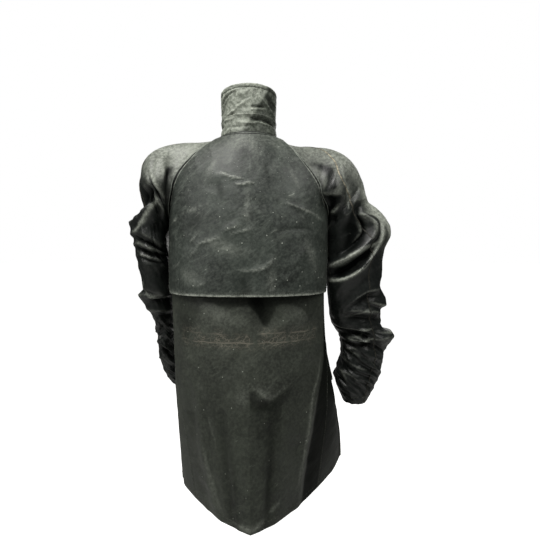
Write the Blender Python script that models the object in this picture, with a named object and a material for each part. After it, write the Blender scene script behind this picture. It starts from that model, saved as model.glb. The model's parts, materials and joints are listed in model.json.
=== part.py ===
"""Three-quarter waxed trench coat, filled out as it is worn, with a storm cape over the back.

Metres, +Z up. The origin is the centre of the neck opening at the back neck seam. The front of
the coat faces -Y, so the wearer's left is +X. Every cloth piece is a lofted wall: its outer face
runs through the sections in the tables below, and its inner face lies one thickness inside.

Two numbers place a point on a piece:
  down    0 at the neck seam, 1 at the underarm, 2 at the hem. On a sleeve, SLEEVE_END is the
          edge of the cuff.
  angle   on the body, degrees round from the centre back, positive to the wearer's left.
  across  on a sleeve, 0 at the back raglan or underarm seam, 0.5 along the outside of the arm
          and 1 at the front raglan or underarm seam.
"""

import bpy
import numpy as np

# Driving dimensions, in metres
CLOTH = 0.0015            # waxed cotton with its cotton lining
COLLAR_CLOTH = 0.0022     # two layers of the cloth with an interlining
FLAP_CLOTH = 0.0020       # a pocket flap, two layers of the cloth
SEAM_GAP = 0.0003         # between pieces that are sewn together
HEM = 2.0                 # down
SLEEVE_END = 2.6          # down
CAPE_END = 1.263          # down, the cape's free hem
CAPE_LIFT = 0.010         # of the cape's hem off the back
CAPE_SIDE_LIFT = 0.0035
CAPE_EDGE = 0.90          # of the way from the centre back to the side, the cape's free sides
FRONT_OVERLAP = 0.030     # of each front past the centre line
UNDERLAP_DEPTH = 0.0034   # the right front lies this far behind the left one
STAND_HEIGHT = 0.043
COLLAR_HEIGHT = 0.115
FALL_END_ANGLE = 164      # degrees, the ends of the collar fall
BUTTON_RADIUS = 0.0115
BUTTON_THICKNESS = 0.0036
BUTTON_DOWNS = (0.16, 0.62, 1.06, 1.30, 1.54)
FLAP_DOWNS = (1.531, 1.640)
FLAP_COLUMNS = (2, 6)     # of a front's columns, counted from the centre front
FLAP_LIFT = 0.0030        # of a pocket flap's lower edge off the front
MOST_MITRE = 0.4          # the sharpest seam's mitre is a wall thickness over this
CENTRE_ROUNDING = 0.018   # how far the pointed sections are rounded at the centre back

# The body's sections. The left and right sides are half widths, and y and z are where a section
# crosses the sides, the centre back and the centre front. A power of 2 is an ellipse, and a
# power near 1 is almost straight from the centre to the side.
SIDES = (
    # down  left    right   left y  right y  z
    (0.00, 0.0740, 0.0700, 0.000, 0.000, -0.0065),
    (0.12, 0.1100, 0.1100, 0.000, 0.000, -0.0130),
    (0.25, 0.1500, 0.1500, 0.000, 0.000, -0.0280),
    (0.40, 0.1800, 0.1800, 0.000, 0.000, -0.0510),
    (0.55, 0.1980, 0.1980, 0.000, 0.000, -0.0780),
    (0.70, 0.2050, 0.2050, 0.000, 0.000, -0.1100),
    (0.85, 0.2060, 0.2050, 0.000, 0.000, -0.1500),
    (1.00, 0.2030, 0.2010, 0.000, 0.000, -0.2150),
    (1.15, 0.2020, 0.1960, 0.000, 0.000, -0.3160),
    (1.30, 0.2000, 0.1940, 0.000, 0.000, -0.4160),
    (1.45, 0.1970, 0.1990, 0.000, 0.000, -0.5160),
    (1.60, 0.1960, 0.2170, 0.000, -0.010, -0.6150),
    (1.75, 0.1920, 0.2420, 0.000, -0.035, -0.7160),
    (1.90, 0.1880, 0.2600, -0.002, -0.070, -0.8170),
    (2.00, 0.1850, 0.2680, -0.004, -0.095, -0.8880),
)
DEPTHS = (
    # down  back y  back z   front y  front z  back power  front power
    (0.00, 0.066, 0.000, -0.075, -0.050, 2.00, 2.00),
    (0.12, 0.078, -0.022, -0.081, -0.067, 2.00, 2.00),
    (0.25, 0.090, -0.047, -0.088, -0.086, 2.00, 2.00),
    (0.40, 0.102, -0.078, -0.098, -0.109, 2.00, 2.00),
    (0.55, 0.112, -0.108, -0.108, -0.132, 2.00, 2.00),
    (0.70, 0.120, -0.138, -0.117, -0.156, 2.00, 2.00),
    (0.85, 0.127, -0.172, -0.125, -0.180, 2.00, 2.00),
    (1.00, 0.131, -0.215, -0.132, -0.215, 2.00, 2.00),
    (1.15, 0.133, -0.316, -0.142, -0.316, 2.00, 2.00),
    (1.30, 0.134, -0.416, -0.146, -0.416, 1.95, 2.00),
    (1.45, 0.138, -0.516, -0.149, -0.516, 1.80, 1.95),
    (1.60, 0.153, -0.618, -0.160, -0.615, 1.55, 1.90),
    (1.75, 0.172, -0.722, -0.172, -0.716, 1.36, 1.85),
    (1.90, 0.196, -0.829, -0.186, -0.817, 1.22, 1.80),
    (2.00, 0.214, -0.902, -0.195, -0.888, 1.16, 1.75),
)
RAGLAN = (
    # down  degrees from the centre back to the back's and the fronts' raglan seams
    (0.00, 70, 118),
    (0.12, 55.4, 131),
    (0.25, 50.7, 135.6),
    (0.40, 50.8, 135.1),
    (0.55, 52.9, 132.1),
    (0.70, 57.6, 126.4),
    (0.85, 65.0, 115.0),
    (1.00, 90, 90),
)
SIDE_SEAM = (
    # down  degrees from the centre back to the left and the right side seam
    (1.00, 90, 90),
    (1.15, 90, 89),
    (1.30, 86, 86),
    (1.45, 80, 78),
    (1.60, 70, 67),
    (1.80, 61, 56),
    (2.00, 55, 50),
)

# The sleeves' edges along the outside of the arm, and under it from the underarm down. x is
# measured out from the coat's centre on either side.
SLEEVE_OVER = {
    "left": (
        # down  x      y       z
        (0.12, 0.0950, -0.0030, -0.0080),
        (0.25, 0.1250, 0.000, -0.0120),
        (0.40, 0.1650, 0.000, -0.0140),
        (0.55, 0.2050, 0.000, -0.0210),
        (0.70, 0.2370, 0.000, -0.0350),
        (0.82, 0.2590, 0.000, -0.0530),
        (0.92, 0.2705, 0.000, -0.0750),
        (1.00, 0.2740, -0.002, -0.1000),
        (1.15, 0.2700, -0.006, -0.1550),
        (1.30, 0.2840, -0.010, -0.2150),
        (1.45, 0.2930, -0.018, -0.2800),
        (1.60, 0.2860, -0.030, -0.3450),
        (1.80, 0.2700, -0.050, -0.4220),
        (2.00, 0.2570, -0.075, -0.4900),
        (2.20, 0.2560, -0.100, -0.5600),
        (2.40, 0.2500, -0.125, -0.6250),
        (2.60, 0.2300, -0.145, -0.6720),
    ),
    "right": (
        (0.12, 0.0930, -0.0030, -0.0130),
        (0.25, 0.1250, 0.000, -0.0190),
        (0.40, 0.1650, 0.000, -0.0200),
        (0.55, 0.2060, 0.000, -0.0240),
        (0.70, 0.2400, 0.000, -0.0390),
        (0.82, 0.2640, 0.000, -0.0570),
        (0.92, 0.2790, 0.000, -0.0790),
        (1.00, 0.2900, 0.000, -0.1050),
        (1.15, 0.3080, 0.000, -0.1600),
        (1.22, 0.3400, -0.001, -0.1850),
        (1.30, 0.3600, -0.002, -0.2120),
        (1.38, 0.3660, -0.004, -0.2420),
        (1.45, 0.3530, -0.006, -0.2700),
        (1.60, 0.3460, -0.012, -0.3400),
        (1.80, 0.3500, -0.024, -0.4200),
        (2.00, 0.3600, -0.038, -0.4950),
        (2.20, 0.3700, -0.050, -0.5650),
        (2.40, 0.3630, -0.060, -0.6350),
        (2.60, 0.3310, -0.066, -0.7050),
    ),
}
SLEEVE_UNDER = {
    "left": (
        (1.00, 0.203, 0.000, -0.215),
        (1.15, 0.212, -0.010, -0.255),
        (1.30, 0.215, -0.020, -0.308),
        (1.45, 0.216, -0.031, -0.362),
        (1.60, 0.213, -0.046, -0.415),
        (1.80, 0.206, -0.073, -0.470),
        (2.00, 0.200, -0.100, -0.520),
        (2.20, 0.193, -0.125, -0.580),
        (2.40, 0.184, -0.150, -0.640),
        (2.60, 0.172, -0.168, -0.690),
    ),
    "right": (
        (1.00, 0.201, 0.000, -0.215),
        (1.15, 0.214, -0.006, -0.260),
        (1.30, 0.215, -0.009, -0.318),
        (1.45, 0.211, -0.014, -0.380),
        (1.60, 0.213, -0.020, -0.430),
        (1.80, 0.222, -0.032, -0.478),
        (2.00, 0.250, -0.044, -0.525),
        (2.20, 0.257, -0.054, -0.580),
        (2.40, 0.239, -0.062, -0.640),
        (2.60, 0.264, -0.066, -0.710),
    ),
}
SLEEVE_SWELL = (
    # down  how far a section's halves are driven out to the back and to the front
    (0.00, 0.040, 0.040),
    (0.12, 0.060, 0.060),
    (0.25, 0.085, 0.085),
    (0.40, 0.120, 0.120),
    (0.55, 0.155, 0.150),
    (0.70, 0.185, 0.180),
    (0.85, 0.215, 0.210),
    (1.00, 0.250, 0.245),
    (1.30, 0.260, 0.250),
    (1.80, 0.235, 0.235),
    (2.20, 0.205, 0.205),
    (2.60, 0.175, 0.175),
)
COLLAR = (
    # height  how far out from the neck seam's ring
    (0.000, 0.0000),
    (0.014, -0.0010),
    (0.034, -0.0034),
    (0.043, -0.0026),
    (0.056, -0.0030),
    (0.090, -0.0016),
    (0.115, -0.0010),
)
SLEEVE_FOLDS = {
    "left": (
        # down  across  turn  length  width   depth
        (1.26, 0.45, 44, 0.150, 0.016, 0.024),
        (1.24, 0.28, 46, 0.160, 0.016, -0.009),
        (0.98, 0.20, 50, 0.130, 0.018, 0.008),
        (1.43, 0.42, 20, 0.170, 0.013, 0.012),
        (1.36, 0.26, 30, 0.150, 0.014, 0.008),
        (1.55, 0.26, 22, 0.150, 0.016, 0.007),
        (1.74, 0.45, 22, 0.180, 0.015, 0.029),
        (1.64, 0.32, 24, 0.150, 0.015, -0.009),
        (1.92, 0.30, 0, 0.150, 0.016, 0.006),
        (2.28, 0.40, 8, 0.140, 0.016, 0.004),
        (1.20, 0.72, -35, 0.180, 0.018, 0.010),
        (1.42, 0.70, -22, 0.180, 0.017, 0.010),
        (1.64, 0.74, -15, 0.170, 0.017, 0.010),
        (1.86, 0.68, 6, 0.180, 0.017, 0.008),
        (2.12, 0.72, -6, 0.160, 0.017, 0.006),
    ),
    "right": (
        (0.86, 0.26, 30, 0.150, 0.018, -0.009),
        (1.16, 0.42, 20, 0.150, 0.018, -0.007),
        (1.46, 0.26, 6, 0.190, 0.016, 0.013),
        (1.56, 0.24, 2, 0.160, 0.015, -0.010),
        (1.65, 0.24, 3, 0.180, 0.015, 0.010),
        (1.74, 0.46, 0, 0.130, 0.014, -0.010),
        (1.84, 0.45, 4, 0.180, 0.015, 0.022),
        (1.96, 0.38, -4, 0.190, 0.014, -0.011),
        (2.06, 0.47, 0, 0.170, 0.019, 0.036),
        (2.20, 0.28, 6, 0.180, 0.015, -0.008),
        (2.38, 0.30, 12, 0.150, 0.016, 0.004),
        (1.24, 0.74, -25, 0.170, 0.018, 0.010),
        (1.44, 0.70, -12, 0.190, 0.017, 0.011),
        (1.66, 0.74, 10, 0.180, 0.017, 0.010),
        (1.88, 0.70, -6, 0.180, 0.017, 0.009),
        (2.12, 0.72, 4, 0.170, 0.017, 0.008),
    ),
}
BACK_FOLDS = (
    # down  across  turn  length  width   depth
    (1.66, 0.62, 96, 0.420, 0.022, 0.006),
    (1.72, 0.38, 90, 0.380, 0.024, -0.004),
    (1.62, -0.55, 84, 0.400, 0.024, 0.005),
    (1.70, -0.32, 92, 0.360, 0.026, -0.004),
    (1.40, 0.02, 90, 0.180, 0.030, -0.004),
    (1.42, 0.40, 60, 0.160, 0.022, 0.003),
    (1.42, -0.38, -60, 0.160, 0.022, 0.003),
)
FRONT_FOLDS = (
    # down  across  turn  length  width   depth
    (1.62, 0.45, 88, 0.420, 0.024, 0.006),
    (1.70, 0.68, 94, 0.380, 0.022, -0.004),
    (1.24, 0.62, 62, 0.220, 0.020, 0.004),
    (1.40, 0.50, -40, 0.180, 0.020, -0.003),
)

# Cloth colours, linear
WAXED = (0.028, 0.034, 0.030)
WORN = (0.045, 0.053, 0.046)
SLEEVE_WAXED = (0.016, 0.020, 0.018)
HORN = (0.018, 0.013, 0.010)

# How finely the pieces are cut into faces
UPPER_ROWS, CAPE_ROWS, LOWER_ROWS = 9, 3, 11
BACK_COLUMNS, FRONT_COLUMNS = 18, 8
SLEEVE_ROWS, SLEEVE_COLUMNS = 31, 9
COLLAR_COLUMNS = 36


def through(table, at, columns=slice(1, None)):
    """A smooth curve through a table's rows, read at the values `at` of its first column: a cubic
    between each two rows, whose slopes come from the neighbouring rows."""
    rows = np.array(table, float)
    knots, values = rows[:, 0], rows[:, columns]
    at = np.clip(np.asarray(at, float), knots[0], knots[-1])
    slopes = np.gradient(values, knots, axis=0)
    i = np.clip(np.searchsorted(knots, at, side="right") - 1, 0, len(knots) - 2)
    step = knots[i + 1] - knots[i]
    t = ((at - knots[i]) / step)[..., None]
    step = step[..., None]
    return (
        (1 + 2 * t) * (1 - t) ** 2 * values[i]
        + t * (1 - t) ** 2 * step * slopes[i]
        + t**2 * (3 - 2 * t) * values[i + 1]
        + t**2 * (t - 1) * step * slopes[i + 1]
    )


def columns_of(table, at):
    """The table's columns, each read at `at`."""
    return np.moveaxis(through(table, at), -1, 0)


def unit(vectors):
    return vectors / np.maximum(np.linalg.norm(vectors, axis=-1, keepdims=True), 1e-12)


def smooth(x):
    x = np.clip(x, 0, 1)
    return x * x * (3 - 2 * x)


def ring(down, angle):
    """A point of the body's outer face. The wearer's right of the front sinks behind the left."""
    down, angle = np.broadcast_arrays(np.asarray(down, float), angle)
    left, right, left_y, right_y, side_z = columns_of(SIDES, down)
    back_y, back_z, front_y, front_z, back_power, front_power = columns_of(DEPTHS, down)
    sine, cosine = np.sin(np.radians(angle)), np.cos(np.radians(angle))
    width, side_y = np.where(sine > 0, (left, left_y), (right, right_y))
    depth, level, power = np.where(
        cosine > 0, (back_y, back_z, 2 / back_power), (front_y, front_z, 2 / front_power)
    )
    x = width * np.sign(sine) * np.abs(sine) ** power
    y = side_y + (depth - side_y) * np.abs(cosine) ** power
    y -= CENTRE_ROUNDING * (power - 1) * np.exp(-((x / 0.035) ** 2)) * (cosine > 0)
    z = side_z + (level - side_z) * np.abs(cosine)
    under = UNDERLAP_DEPTH * smooth((-angle - 125) / 25)
    keep = 1 - under / np.hypot(x, y)
    return np.stack([x * keep, y * keep, z], axis=-1)


def seam_angle(down, side, piece):
    """The angle from the centre back to the edge of the back (piece 1) or of a front (piece 2)."""
    raglan = through(RAGLAN, down, [piece])[..., 0]
    lower = through(SIDE_SEAM, down, [1 if side > 0 else 2])[..., 0]
    return np.where(down < 1, raglan, lower)


def back_point(down, across):
    """across is -1 at the wearer's right seam and 1 at the left one."""
    left = seam_angle(down, 1, 1)
    right = seam_angle(down, -1, 1)
    return ring(down, across * np.where(across > 0, left, right))


def overlap_angle(down):
    """How far past the centre front a front's edge lies, in degrees."""
    right = through(SIDES, down, [2])[..., 0]
    power = through(DEPTHS, down, [6])[..., 0]
    return np.degrees(np.arcsin((FRONT_OVERLAP / right) ** (power / 2)))


def front_point(down, across, side):
    """across is -1 at the front edge, 0 at the centre front and 1 at the seam."""
    to_edge = -overlap_angle(down) * across
    to_seam = (seam_angle(down, side, 2) - 180) * across
    return ring(down, side * (180 + np.where(across < 0, to_edge, to_seam)))


def sleeve_point(down, across, side):
    """A section of the sleeve. Each half is a cubic from the outside of the arm to the seam,
    driven out to the back or the front by the swell. Its first section lies on the neck seam."""
    name = "left" if side > 0 else "right"
    down, across = np.broadcast_arrays(np.asarray(down, float), across)
    neck_angles = through(((0, 70), (0.5, 94), (1, 118)), across)[..., 0]
    neck = ring(0.0, side * neck_angles) * [side, 1, 1]
    top = through(((0.0, *ring(0.0, 94.0)), *SLEEVE_OVER[name]), down)
    back = across < 0.5
    facing = np.where(back, 1.0, -1.0)[..., None] * np.array([0.0, 1.0, 0.0])
    raglan = np.where(back, seam_angle(down, side, 1), seam_angle(down, side, 2))
    open_end = ring(down, side * raglan) * [side, 1, 1]
    end = np.where((down < 1)[..., None], open_end, through(SLEEVE_UNDER[name], down))
    swell = through(SLEEVE_SWELL, down)
    drive = np.where(back, swell[..., 0], swell[..., 1])[..., None]
    tuck = smooth((down - 0.45) / 0.55)[..., None]
    arrive = unit((1 - tuck) * unit(end - top) - tuck * facing)
    t = np.abs(across - 0.5)[..., None] * 2
    point = (
        (1 + 2 * t) * (1 - t) ** 2 * top
        + t * (1 - t) ** 2 * drive * facing
        + t**2 * (3 - 2 * t) * end
        + t**2 * (t - 1) * drive * arrive
    )
    near_neck = smooth(1 - down / 0.12)[..., None]
    return (point + (neck - point) * near_neck) * [side, 1, 1]


def body_rows():
    upper = np.linspace(0, 1, 1 + UPPER_ROWS)
    cape = np.linspace(1, CAPE_END, 1 + CAPE_ROWS)
    lower = np.linspace(CAPE_END, HEM, 1 + LOWER_ROWS)
    return np.concatenate([upper, cape[1:], lower[1:]])


def sleeve_rows():
    upper = np.linspace(0, 1, 1 + UPPER_ROWS)
    return np.concatenate([upper, np.linspace(1, SLEEVE_END, 1 + SLEEVE_ROWS)[1:]])


def fold_depth(folds, down, across, down_length, across_length):
    """The height of the folds over a piece: each is a ridge, or a trough where depth is negative,
    along a line through its middle. turn is the line's angle in degrees from straight across."""
    height = 0.0
    for middle, place, turn, length, width, depth in folds:
        u = (across - place) * across_length
        v = (down - middle) * down_length
        a = np.radians(turn)
        along = (u * np.cos(a) + v * np.sin(a)) / (length / 2)
        over = (v * np.cos(a) - u * np.sin(a)) / width
        height = height + depth * np.exp(-over * over) * np.exp(-(along**4))
    return height


def shared_normals(grids):
    """A normal at each grid's points, shared where grids meet: the sum of the cross products of
    the faces round the point. It is a unit vector on a smooth face, and longer at a sharp seam,
    as a mitre is, so that a wall keeps its thickness there."""
    points = np.concatenate([grid.reshape(-1, 3) for grid in grids.values()])
    index = np.unique(np.round(points, 6), axis=0, return_inverse=True)[1].reshape(-1)
    total = np.zeros((index.max() + 1, 3))
    area = np.zeros((index.max() + 1, 1))
    places, start = {}, 0
    for name, grid in grids.items():
        count = grid.shape[0] * grid.shape[1]
        place = places[name] = index[start : start + count].reshape(grid.shape[:2])
        start += count
        normal = np.cross(grid[1:, 1:] - grid[:-1, :-1], grid[:-1, 1:] - grid[1:, :-1])
        size = np.linalg.norm(normal, axis=-1, keepdims=True)
        for corner in (place[:-1, :-1], place[:-1, 1:], place[1:, 1:], place[1:, :-1]):
            np.add.at(total, corner, normal)
            np.add.at(area, corner, size)
    flatness = np.linalg.norm(total, axis=-1, keepdims=True) / area
    total = unit(total) / np.clip(flatness, MOST_MITRE, 1)
    return {name: total[place] for name, place in places.items()}


def outer_faces():
    """The outer face of each sewn panel: rows down, and columns to the wearer's right."""
    rows = body_rows()[:, None]
    arms = sleeve_rows()[:, None]
    faces = {"back": back_point(rows, np.linspace(1, -1, 1 + BACK_COLUMNS)[None, :])}
    for name, side in (("left", 1), ("right", -1)):
        across = np.concatenate([[-1, -0.5], np.linspace(0, 1, 1 + FRONT_COLUMNS)])[None, :]
        faces["front_" + name] = front_point(rows, across, side)[:, ::side]
        half = np.linspace(0, 0.5, 1 + SLEEVE_COLUMNS)[None, :]
        faces["sleeve_back_" + name] = sleeve_point(arms, half, side)[:, ::-side]
        faces["sleeve_front_" + name] = sleeve_point(arms, half + 0.5, side)[:, ::-side]
    return faces


def panel_folds():
    rows = body_rows()[:, None]
    arms = sleeve_rows()[:, None]
    across = np.linspace(1, -1, 1 + BACK_COLUMNS)[None, :]
    held = smooth((1 - np.abs(across)) / 0.15)
    folds = {"back": held * fold_depth(BACK_FOLDS, rows, across, 0.67, 0.29)}
    for name, side in (("left", 1), ("right", -1)):
        across = np.concatenate([[-1, -0.5], np.linspace(0, 1, 1 + FRONT_COLUMNS)])[None, :]
        held = smooth((1 - across) / 0.15) * smooth((across - 0.1) / 0.2)
        depth = fold_depth(FRONT_FOLDS, rows, across, 0.67, 0.30)
        folds["front_" + name] = (held * depth)[:, ::side]
        for half, start in (("back", 0.0), ("front", 0.5)):
            across = start + np.linspace(0, 0.5, 1 + SLEEVE_COLUMNS)[None, :]
            held = smooth(np.minimum(across, 1 - across) / 0.06) * smooth(arms / 0.2)
            depth = fold_depth(SLEEVE_FOLDS[name], arms, across, 0.36, 0.44)
            folds[f"sleeve_{half}_{name}"] = (held * depth)[:, ::-side]
    return folds


def drawn_in(grid, gap):
    """The grid with each edge drawn in by half the gap, within its own surface."""
    grid = grid.copy()
    for first, second in ((0, 1), (-1, -2)):
        grid[first] += unit(grid[second] - grid[first]) * gap / 2
        grid[:, first] += unit(grid[:, second] - grid[:, first]) * gap / 2
    return grid


def add_wall(name, outer, inner, material):
    """One closed body between two grids of points, with a strip round their edges."""
    rows, columns = outer.shape[:2]
    index = np.arange(rows * columns).reshape(rows, columns)
    a, b, c, d = index[:-1, :-1], index[:-1, 1:], index[1:, 1:], index[1:, :-1]
    front = np.stack([a, d, c, a, c, b], -1).reshape(-1, 3)
    back = front[:, ::-1] + rows * columns
    rim = np.concatenate([index[:-1, 0], index[-1, :-1], index[:0:-1, -1], index[0, :0:-1]])
    following = np.roll(rim, -1)
    edge = np.stack([following, rim, rim + rows * columns, following + rows * columns], -1)
    mesh = bpy.data.meshes.new(name)
    points = np.concatenate([outer.reshape(-1, 3), inner.reshape(-1, 3)])
    mesh.from_pydata(points.tolist(), [], [*front.tolist(), *back.tolist(), *edge.tolist()])
    mesh.materials.append(material)
    piece = bpy.data.objects.new(name, mesh)
    collection().objects.link(piece)
    return piece


def collection(name="trench_coat"):
    found = bpy.data.collections.get(name)
    if found is None:
        found = bpy.data.collections.new(name)
        bpy.context.scene.collection.children.link(found)
    return found


def material(name, colour, roughness):
    made = bpy.data.materials.new(name)
    made.use_nodes = True
    shader = made.node_tree.nodes["Principled BSDF"]
    shader.inputs["Base Color"].default_value = (*colour, 1)
    shader.inputs["Roughness"].default_value = roughness
    shader.inputs["Metallic"].default_value = 0
    return made


def collar_grid(heights, start, end):
    """The collar between two angles: it stands up from the neck seam."""
    angles = np.linspace(start, end, 1 + COLLAR_COLUMNS)[None, :]
    base = ring(0.0, angles)
    out = unit(base * [1, 1, 0]) * through(COLLAR, heights)[:, None]
    return base + out + heights[:, None, None] * np.array([0, 0, 1])


def add_collar(cloth):
    past = 180 + float(overlap_angle(0.0))
    half = SEAM_GAP / 2
    stand = np.linspace(STAND_HEIGHT - half, half, 4)
    fall = np.linspace(COLLAR_HEIGHT, STAND_HEIGHT + 3 * half, 6)
    for name, heights, end in (
        ("collar_stand", stand, past),
        ("collar_fall", fall, FALL_END_ANGLE),
    ):
        outer = collar_grid(heights, end, -end)
        normals = shared_normals({name: outer})[name]
        add_wall(name, outer, outer - normals * COLLAR_CLOTH, cloth)


def add_cape(back, normals, cloth):
    """The storm cape: the back's points moved out, more towards its free hem."""
    rows = UPPER_ROWS + CAPE_ROWS + 1
    downs = body_rows()[:rows, None]
    across = np.linspace(1, -1, 1 + BACK_COLUMNS)[None, :]
    free = smooth((downs - 0.86) / (CAPE_END - 0.86))
    sides = smooth((np.abs(across) - 0.55) / 0.35)
    lift = 0.0006 + free * (CAPE_LIFT + (CAPE_SIDE_LIFT - CAPE_LIFT) * sides)
    narrow = 1 + (CAPE_EDGE - 1) * smooth((downs - 0.80) / 0.15) * (np.abs(across) > 0.95)
    base = back[:rows].copy()
    edge = np.broadcast_to(across * narrow, base.shape[:2])
    moved = back_point(downs, edge)
    base[:, [0, -1]] = moved[:, [0, -1]]
    normals = shared_normals({"cape": base})["cape"]
    inner = drawn_in(base + normals * lift[..., None], 0.003)
    add_wall("storm_cape", inner + normals * CLOTH, inner, cloth)


def add_flap(name, front, cloth):
    """A pocket flap: a front's points moved out, more towards the flap's lower edge."""
    top = np.argmin(np.abs(body_rows() - FLAP_DOWNS[0]))
    downs = np.linspace(body_rows()[top], FLAP_DOWNS[1], 4)
    places = np.interp(downs, body_rows(), np.arange(len(front)))
    row = np.floor(places + 1e-9).astype(int)
    part = (places - row)[:, None, None]
    first, last = FLAP_COLUMNS
    columns = np.arange(first + 2, last + 3)
    if name.endswith("right"):
        columns = front.shape[1] - 1 - columns[::-1]
    base = (front[row] * (1 - part) + front[row + 1] * part)[:, columns]
    normals = shared_normals({name: base})[name]
    lift = 0.0004 + FLAP_LIFT * np.linspace(0, 1, 4) ** 0.5
    inner = base + normals * lift[:, None, None]
    add_wall(name, inner + normals * FLAP_CLOTH, inner, cloth)


def add_button(name, down, horn):
    """A turned button on the centre line of the left front."""
    step = 1e-3
    place = ring(down, 180.0)
    tangent = ring(down + step, 180.0) - ring(down - step, 180.0)
    normal = unit(np.cross(tangent, [1, 0, 0]))
    centre = place + normal * (0.0006 + BUTTON_THICKNESS / 2)
    turn = np.arctan2(normal[2], -normal[1])
    bpy.ops.mesh.primitive_cylinder_add(
        vertices=20,
        radius=BUTTON_RADIUS,
        depth=BUTTON_THICKNESS,
        location=centre,
        rotation=(np.pi / 2 - turn, 0, 0),
    )
    button = bpy.context.object
    button.name = name
    button.data.materials.append(horn)
    for other in list(button.users_collection):
        other.objects.unlink(button)
    collection().objects.link(button)


def main():
    for obj in list(bpy.data.objects):
        bpy.data.objects.remove(obj)
    waxed = material("waxed cotton", WAXED, 0.45)
    worn = material("waxed cotton, worn", WORN, 0.50)
    dark = material("waxed cotton, dark", SLEEVE_WAXED, 0.38)
    horn = material("horn", HORN, 0.35)
    smooth_faces = outer_faces()
    folds = panel_folds()
    first = shared_normals(smooth_faces)
    faces = {
        name: grid + first[name] * folds[name][..., None]
        for name, grid in smooth_faces.items()
    }
    normals = shared_normals(faces)
    for name, grid in faces.items():
        outer = drawn_in(grid, SEAM_GAP)
        inner = drawn_in(grid - normals[name] * CLOTH, SEAM_GAP)
        add_wall(name, outer, inner, dark if "sleeve" in name else waxed)
    add_cape(faces["back"], normals["back"], worn)
    add_collar(waxed)
    for name in ("left", "right"):
        add_flap("pocket_flap_" + name, faces["front_" + name], waxed)
    for number, down in enumerate(BUTTON_DOWNS, 1):
        add_button(f"button_{number}", down, horn)


main()
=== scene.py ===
"""Three-quarter waxed trench coat, filled out as it is worn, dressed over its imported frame.

Every cloth piece is a thin closed wall on a fine grid. Its outer face runs through the same
sections as the solid's, its creases lie along the lines in the tables, and its inner face is one
thickness inside.

  down    0 at the neck seam, 1 at the underarm, 2 at the hem. On a sleeve, SLEEVE_END is the
          edge of the cuff.
  angle   on the body, degrees round from the centre back, positive to the wearer's left.
  across  on a sleeve, 0 at the back raglan or underarm seam, 0.5 along the outside of the arm
          and 1 at the front raglan or underarm seam. On the back, -1 at the right seam and 1 at
          the left one. On a front, -1 at its edge, 0 at the centre front and 1 at the seam.
"""

import json

import bpy
import numpy as np
from mathutils import Matrix, Vector

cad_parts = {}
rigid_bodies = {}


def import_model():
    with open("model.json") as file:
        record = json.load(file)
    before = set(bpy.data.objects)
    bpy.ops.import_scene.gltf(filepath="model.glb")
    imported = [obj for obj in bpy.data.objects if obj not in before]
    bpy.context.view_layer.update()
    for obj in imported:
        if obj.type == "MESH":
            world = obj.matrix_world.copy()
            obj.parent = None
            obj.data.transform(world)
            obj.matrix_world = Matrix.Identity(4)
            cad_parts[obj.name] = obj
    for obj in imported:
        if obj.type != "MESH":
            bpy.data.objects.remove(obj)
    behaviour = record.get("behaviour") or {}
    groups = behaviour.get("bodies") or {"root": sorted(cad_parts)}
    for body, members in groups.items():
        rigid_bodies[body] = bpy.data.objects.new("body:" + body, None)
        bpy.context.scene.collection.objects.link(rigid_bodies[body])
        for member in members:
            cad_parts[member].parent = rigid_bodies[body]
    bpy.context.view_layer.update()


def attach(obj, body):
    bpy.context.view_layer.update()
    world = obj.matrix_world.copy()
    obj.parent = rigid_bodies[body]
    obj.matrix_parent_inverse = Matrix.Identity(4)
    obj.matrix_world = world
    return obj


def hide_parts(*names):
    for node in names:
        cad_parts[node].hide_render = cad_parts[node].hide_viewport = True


for thing in list(bpy.data.objects):
    bpy.data.objects.remove(thing)
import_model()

# Driving dimensions, in metres
CLOTH = 0.0015            # waxed cotton with its cotton lining
COLLAR_CLOTH = 0.0022     # two layers of the cloth with an interlining
FLAP_CLOTH = 0.0020       # a pocket flap, two layers of the cloth
SEAM_GAP = 0.0003         # between pieces that are sewn together
HEM = 2.0                 # down
SLEEVE_END = 2.6          # down
CAPE_END = 1.263          # down, the cape's free hem
CAPE_LIFT = 0.010         # of the cape's hem off the back
CAPE_SIDE_LIFT = 0.0035
CAPE_EDGE = 0.90          # of the way from the centre back to the side, the cape's free sides
FRONT_OVERLAP = 0.030     # of each front past the centre line
UNDERLAP_DEPTH = 0.0034   # the right front lies this far behind the left one
STAND_HEIGHT = 0.043
COLLAR_HEIGHT = 0.115
FALL_END_ANGLE = 164      # degrees, the ends of the collar fall
BUTTON_RADIUS = 0.0115
BUTTON_THICKNESS = 0.0036
BUTTON_DOWNS = (0.16, 0.62, 1.06, 1.30, 1.54)
FLAP_DOWNS = (1.5315, 1.640)
FLAP_ACROSS = (0.25, 0.75)
FLAP_LIFT = 0.0030        # of a pocket flap's lower edge off the front
MOST_MITRE = 0.4          # the sharpest seam's mitre is a wall thickness over this
CENTRE_ROUNDING = 0.018   # how far the pointed sections are rounded at the centre back
HOLE_PLACE = 0.0021       # a button's holes, off its middle either way
HOLE_RADIUS, HOLE_DEPTH = 0.0011, 0.0014
BUTTONHOLE = (0.009, 0.013, 0.002)   # its middle, from the centre front to the seam, and half its sizes
STITCH = 0.0034           # one topstitch
STITCH_SPACE = 0.0046     # from one stitch to the next
STITCH_THICK = 0.00042    # its thread's radius
STITCH_LIFT = 0.0001
EDGE_STITCHING, HEM_STITCHING, CUFF_STITCHING = 0.006, 0.013, 0.020   # off the edge
COLLAR_STITCHING, SEAM_STITCHING, FALL_STITCHING = 0.008, 0.004, 0.003
NECK_LINES = (0.0022, 0.0082)        # off the neck's edge
RAGLAN_CORD, BUTTONHOLE_CORD, BUTTON_THREAD = 0.0011, 0.0008, 0.0005   # radii
FIRST_SEAM_ROW = 3        # of a raglan seam, clear of the neck
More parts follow.
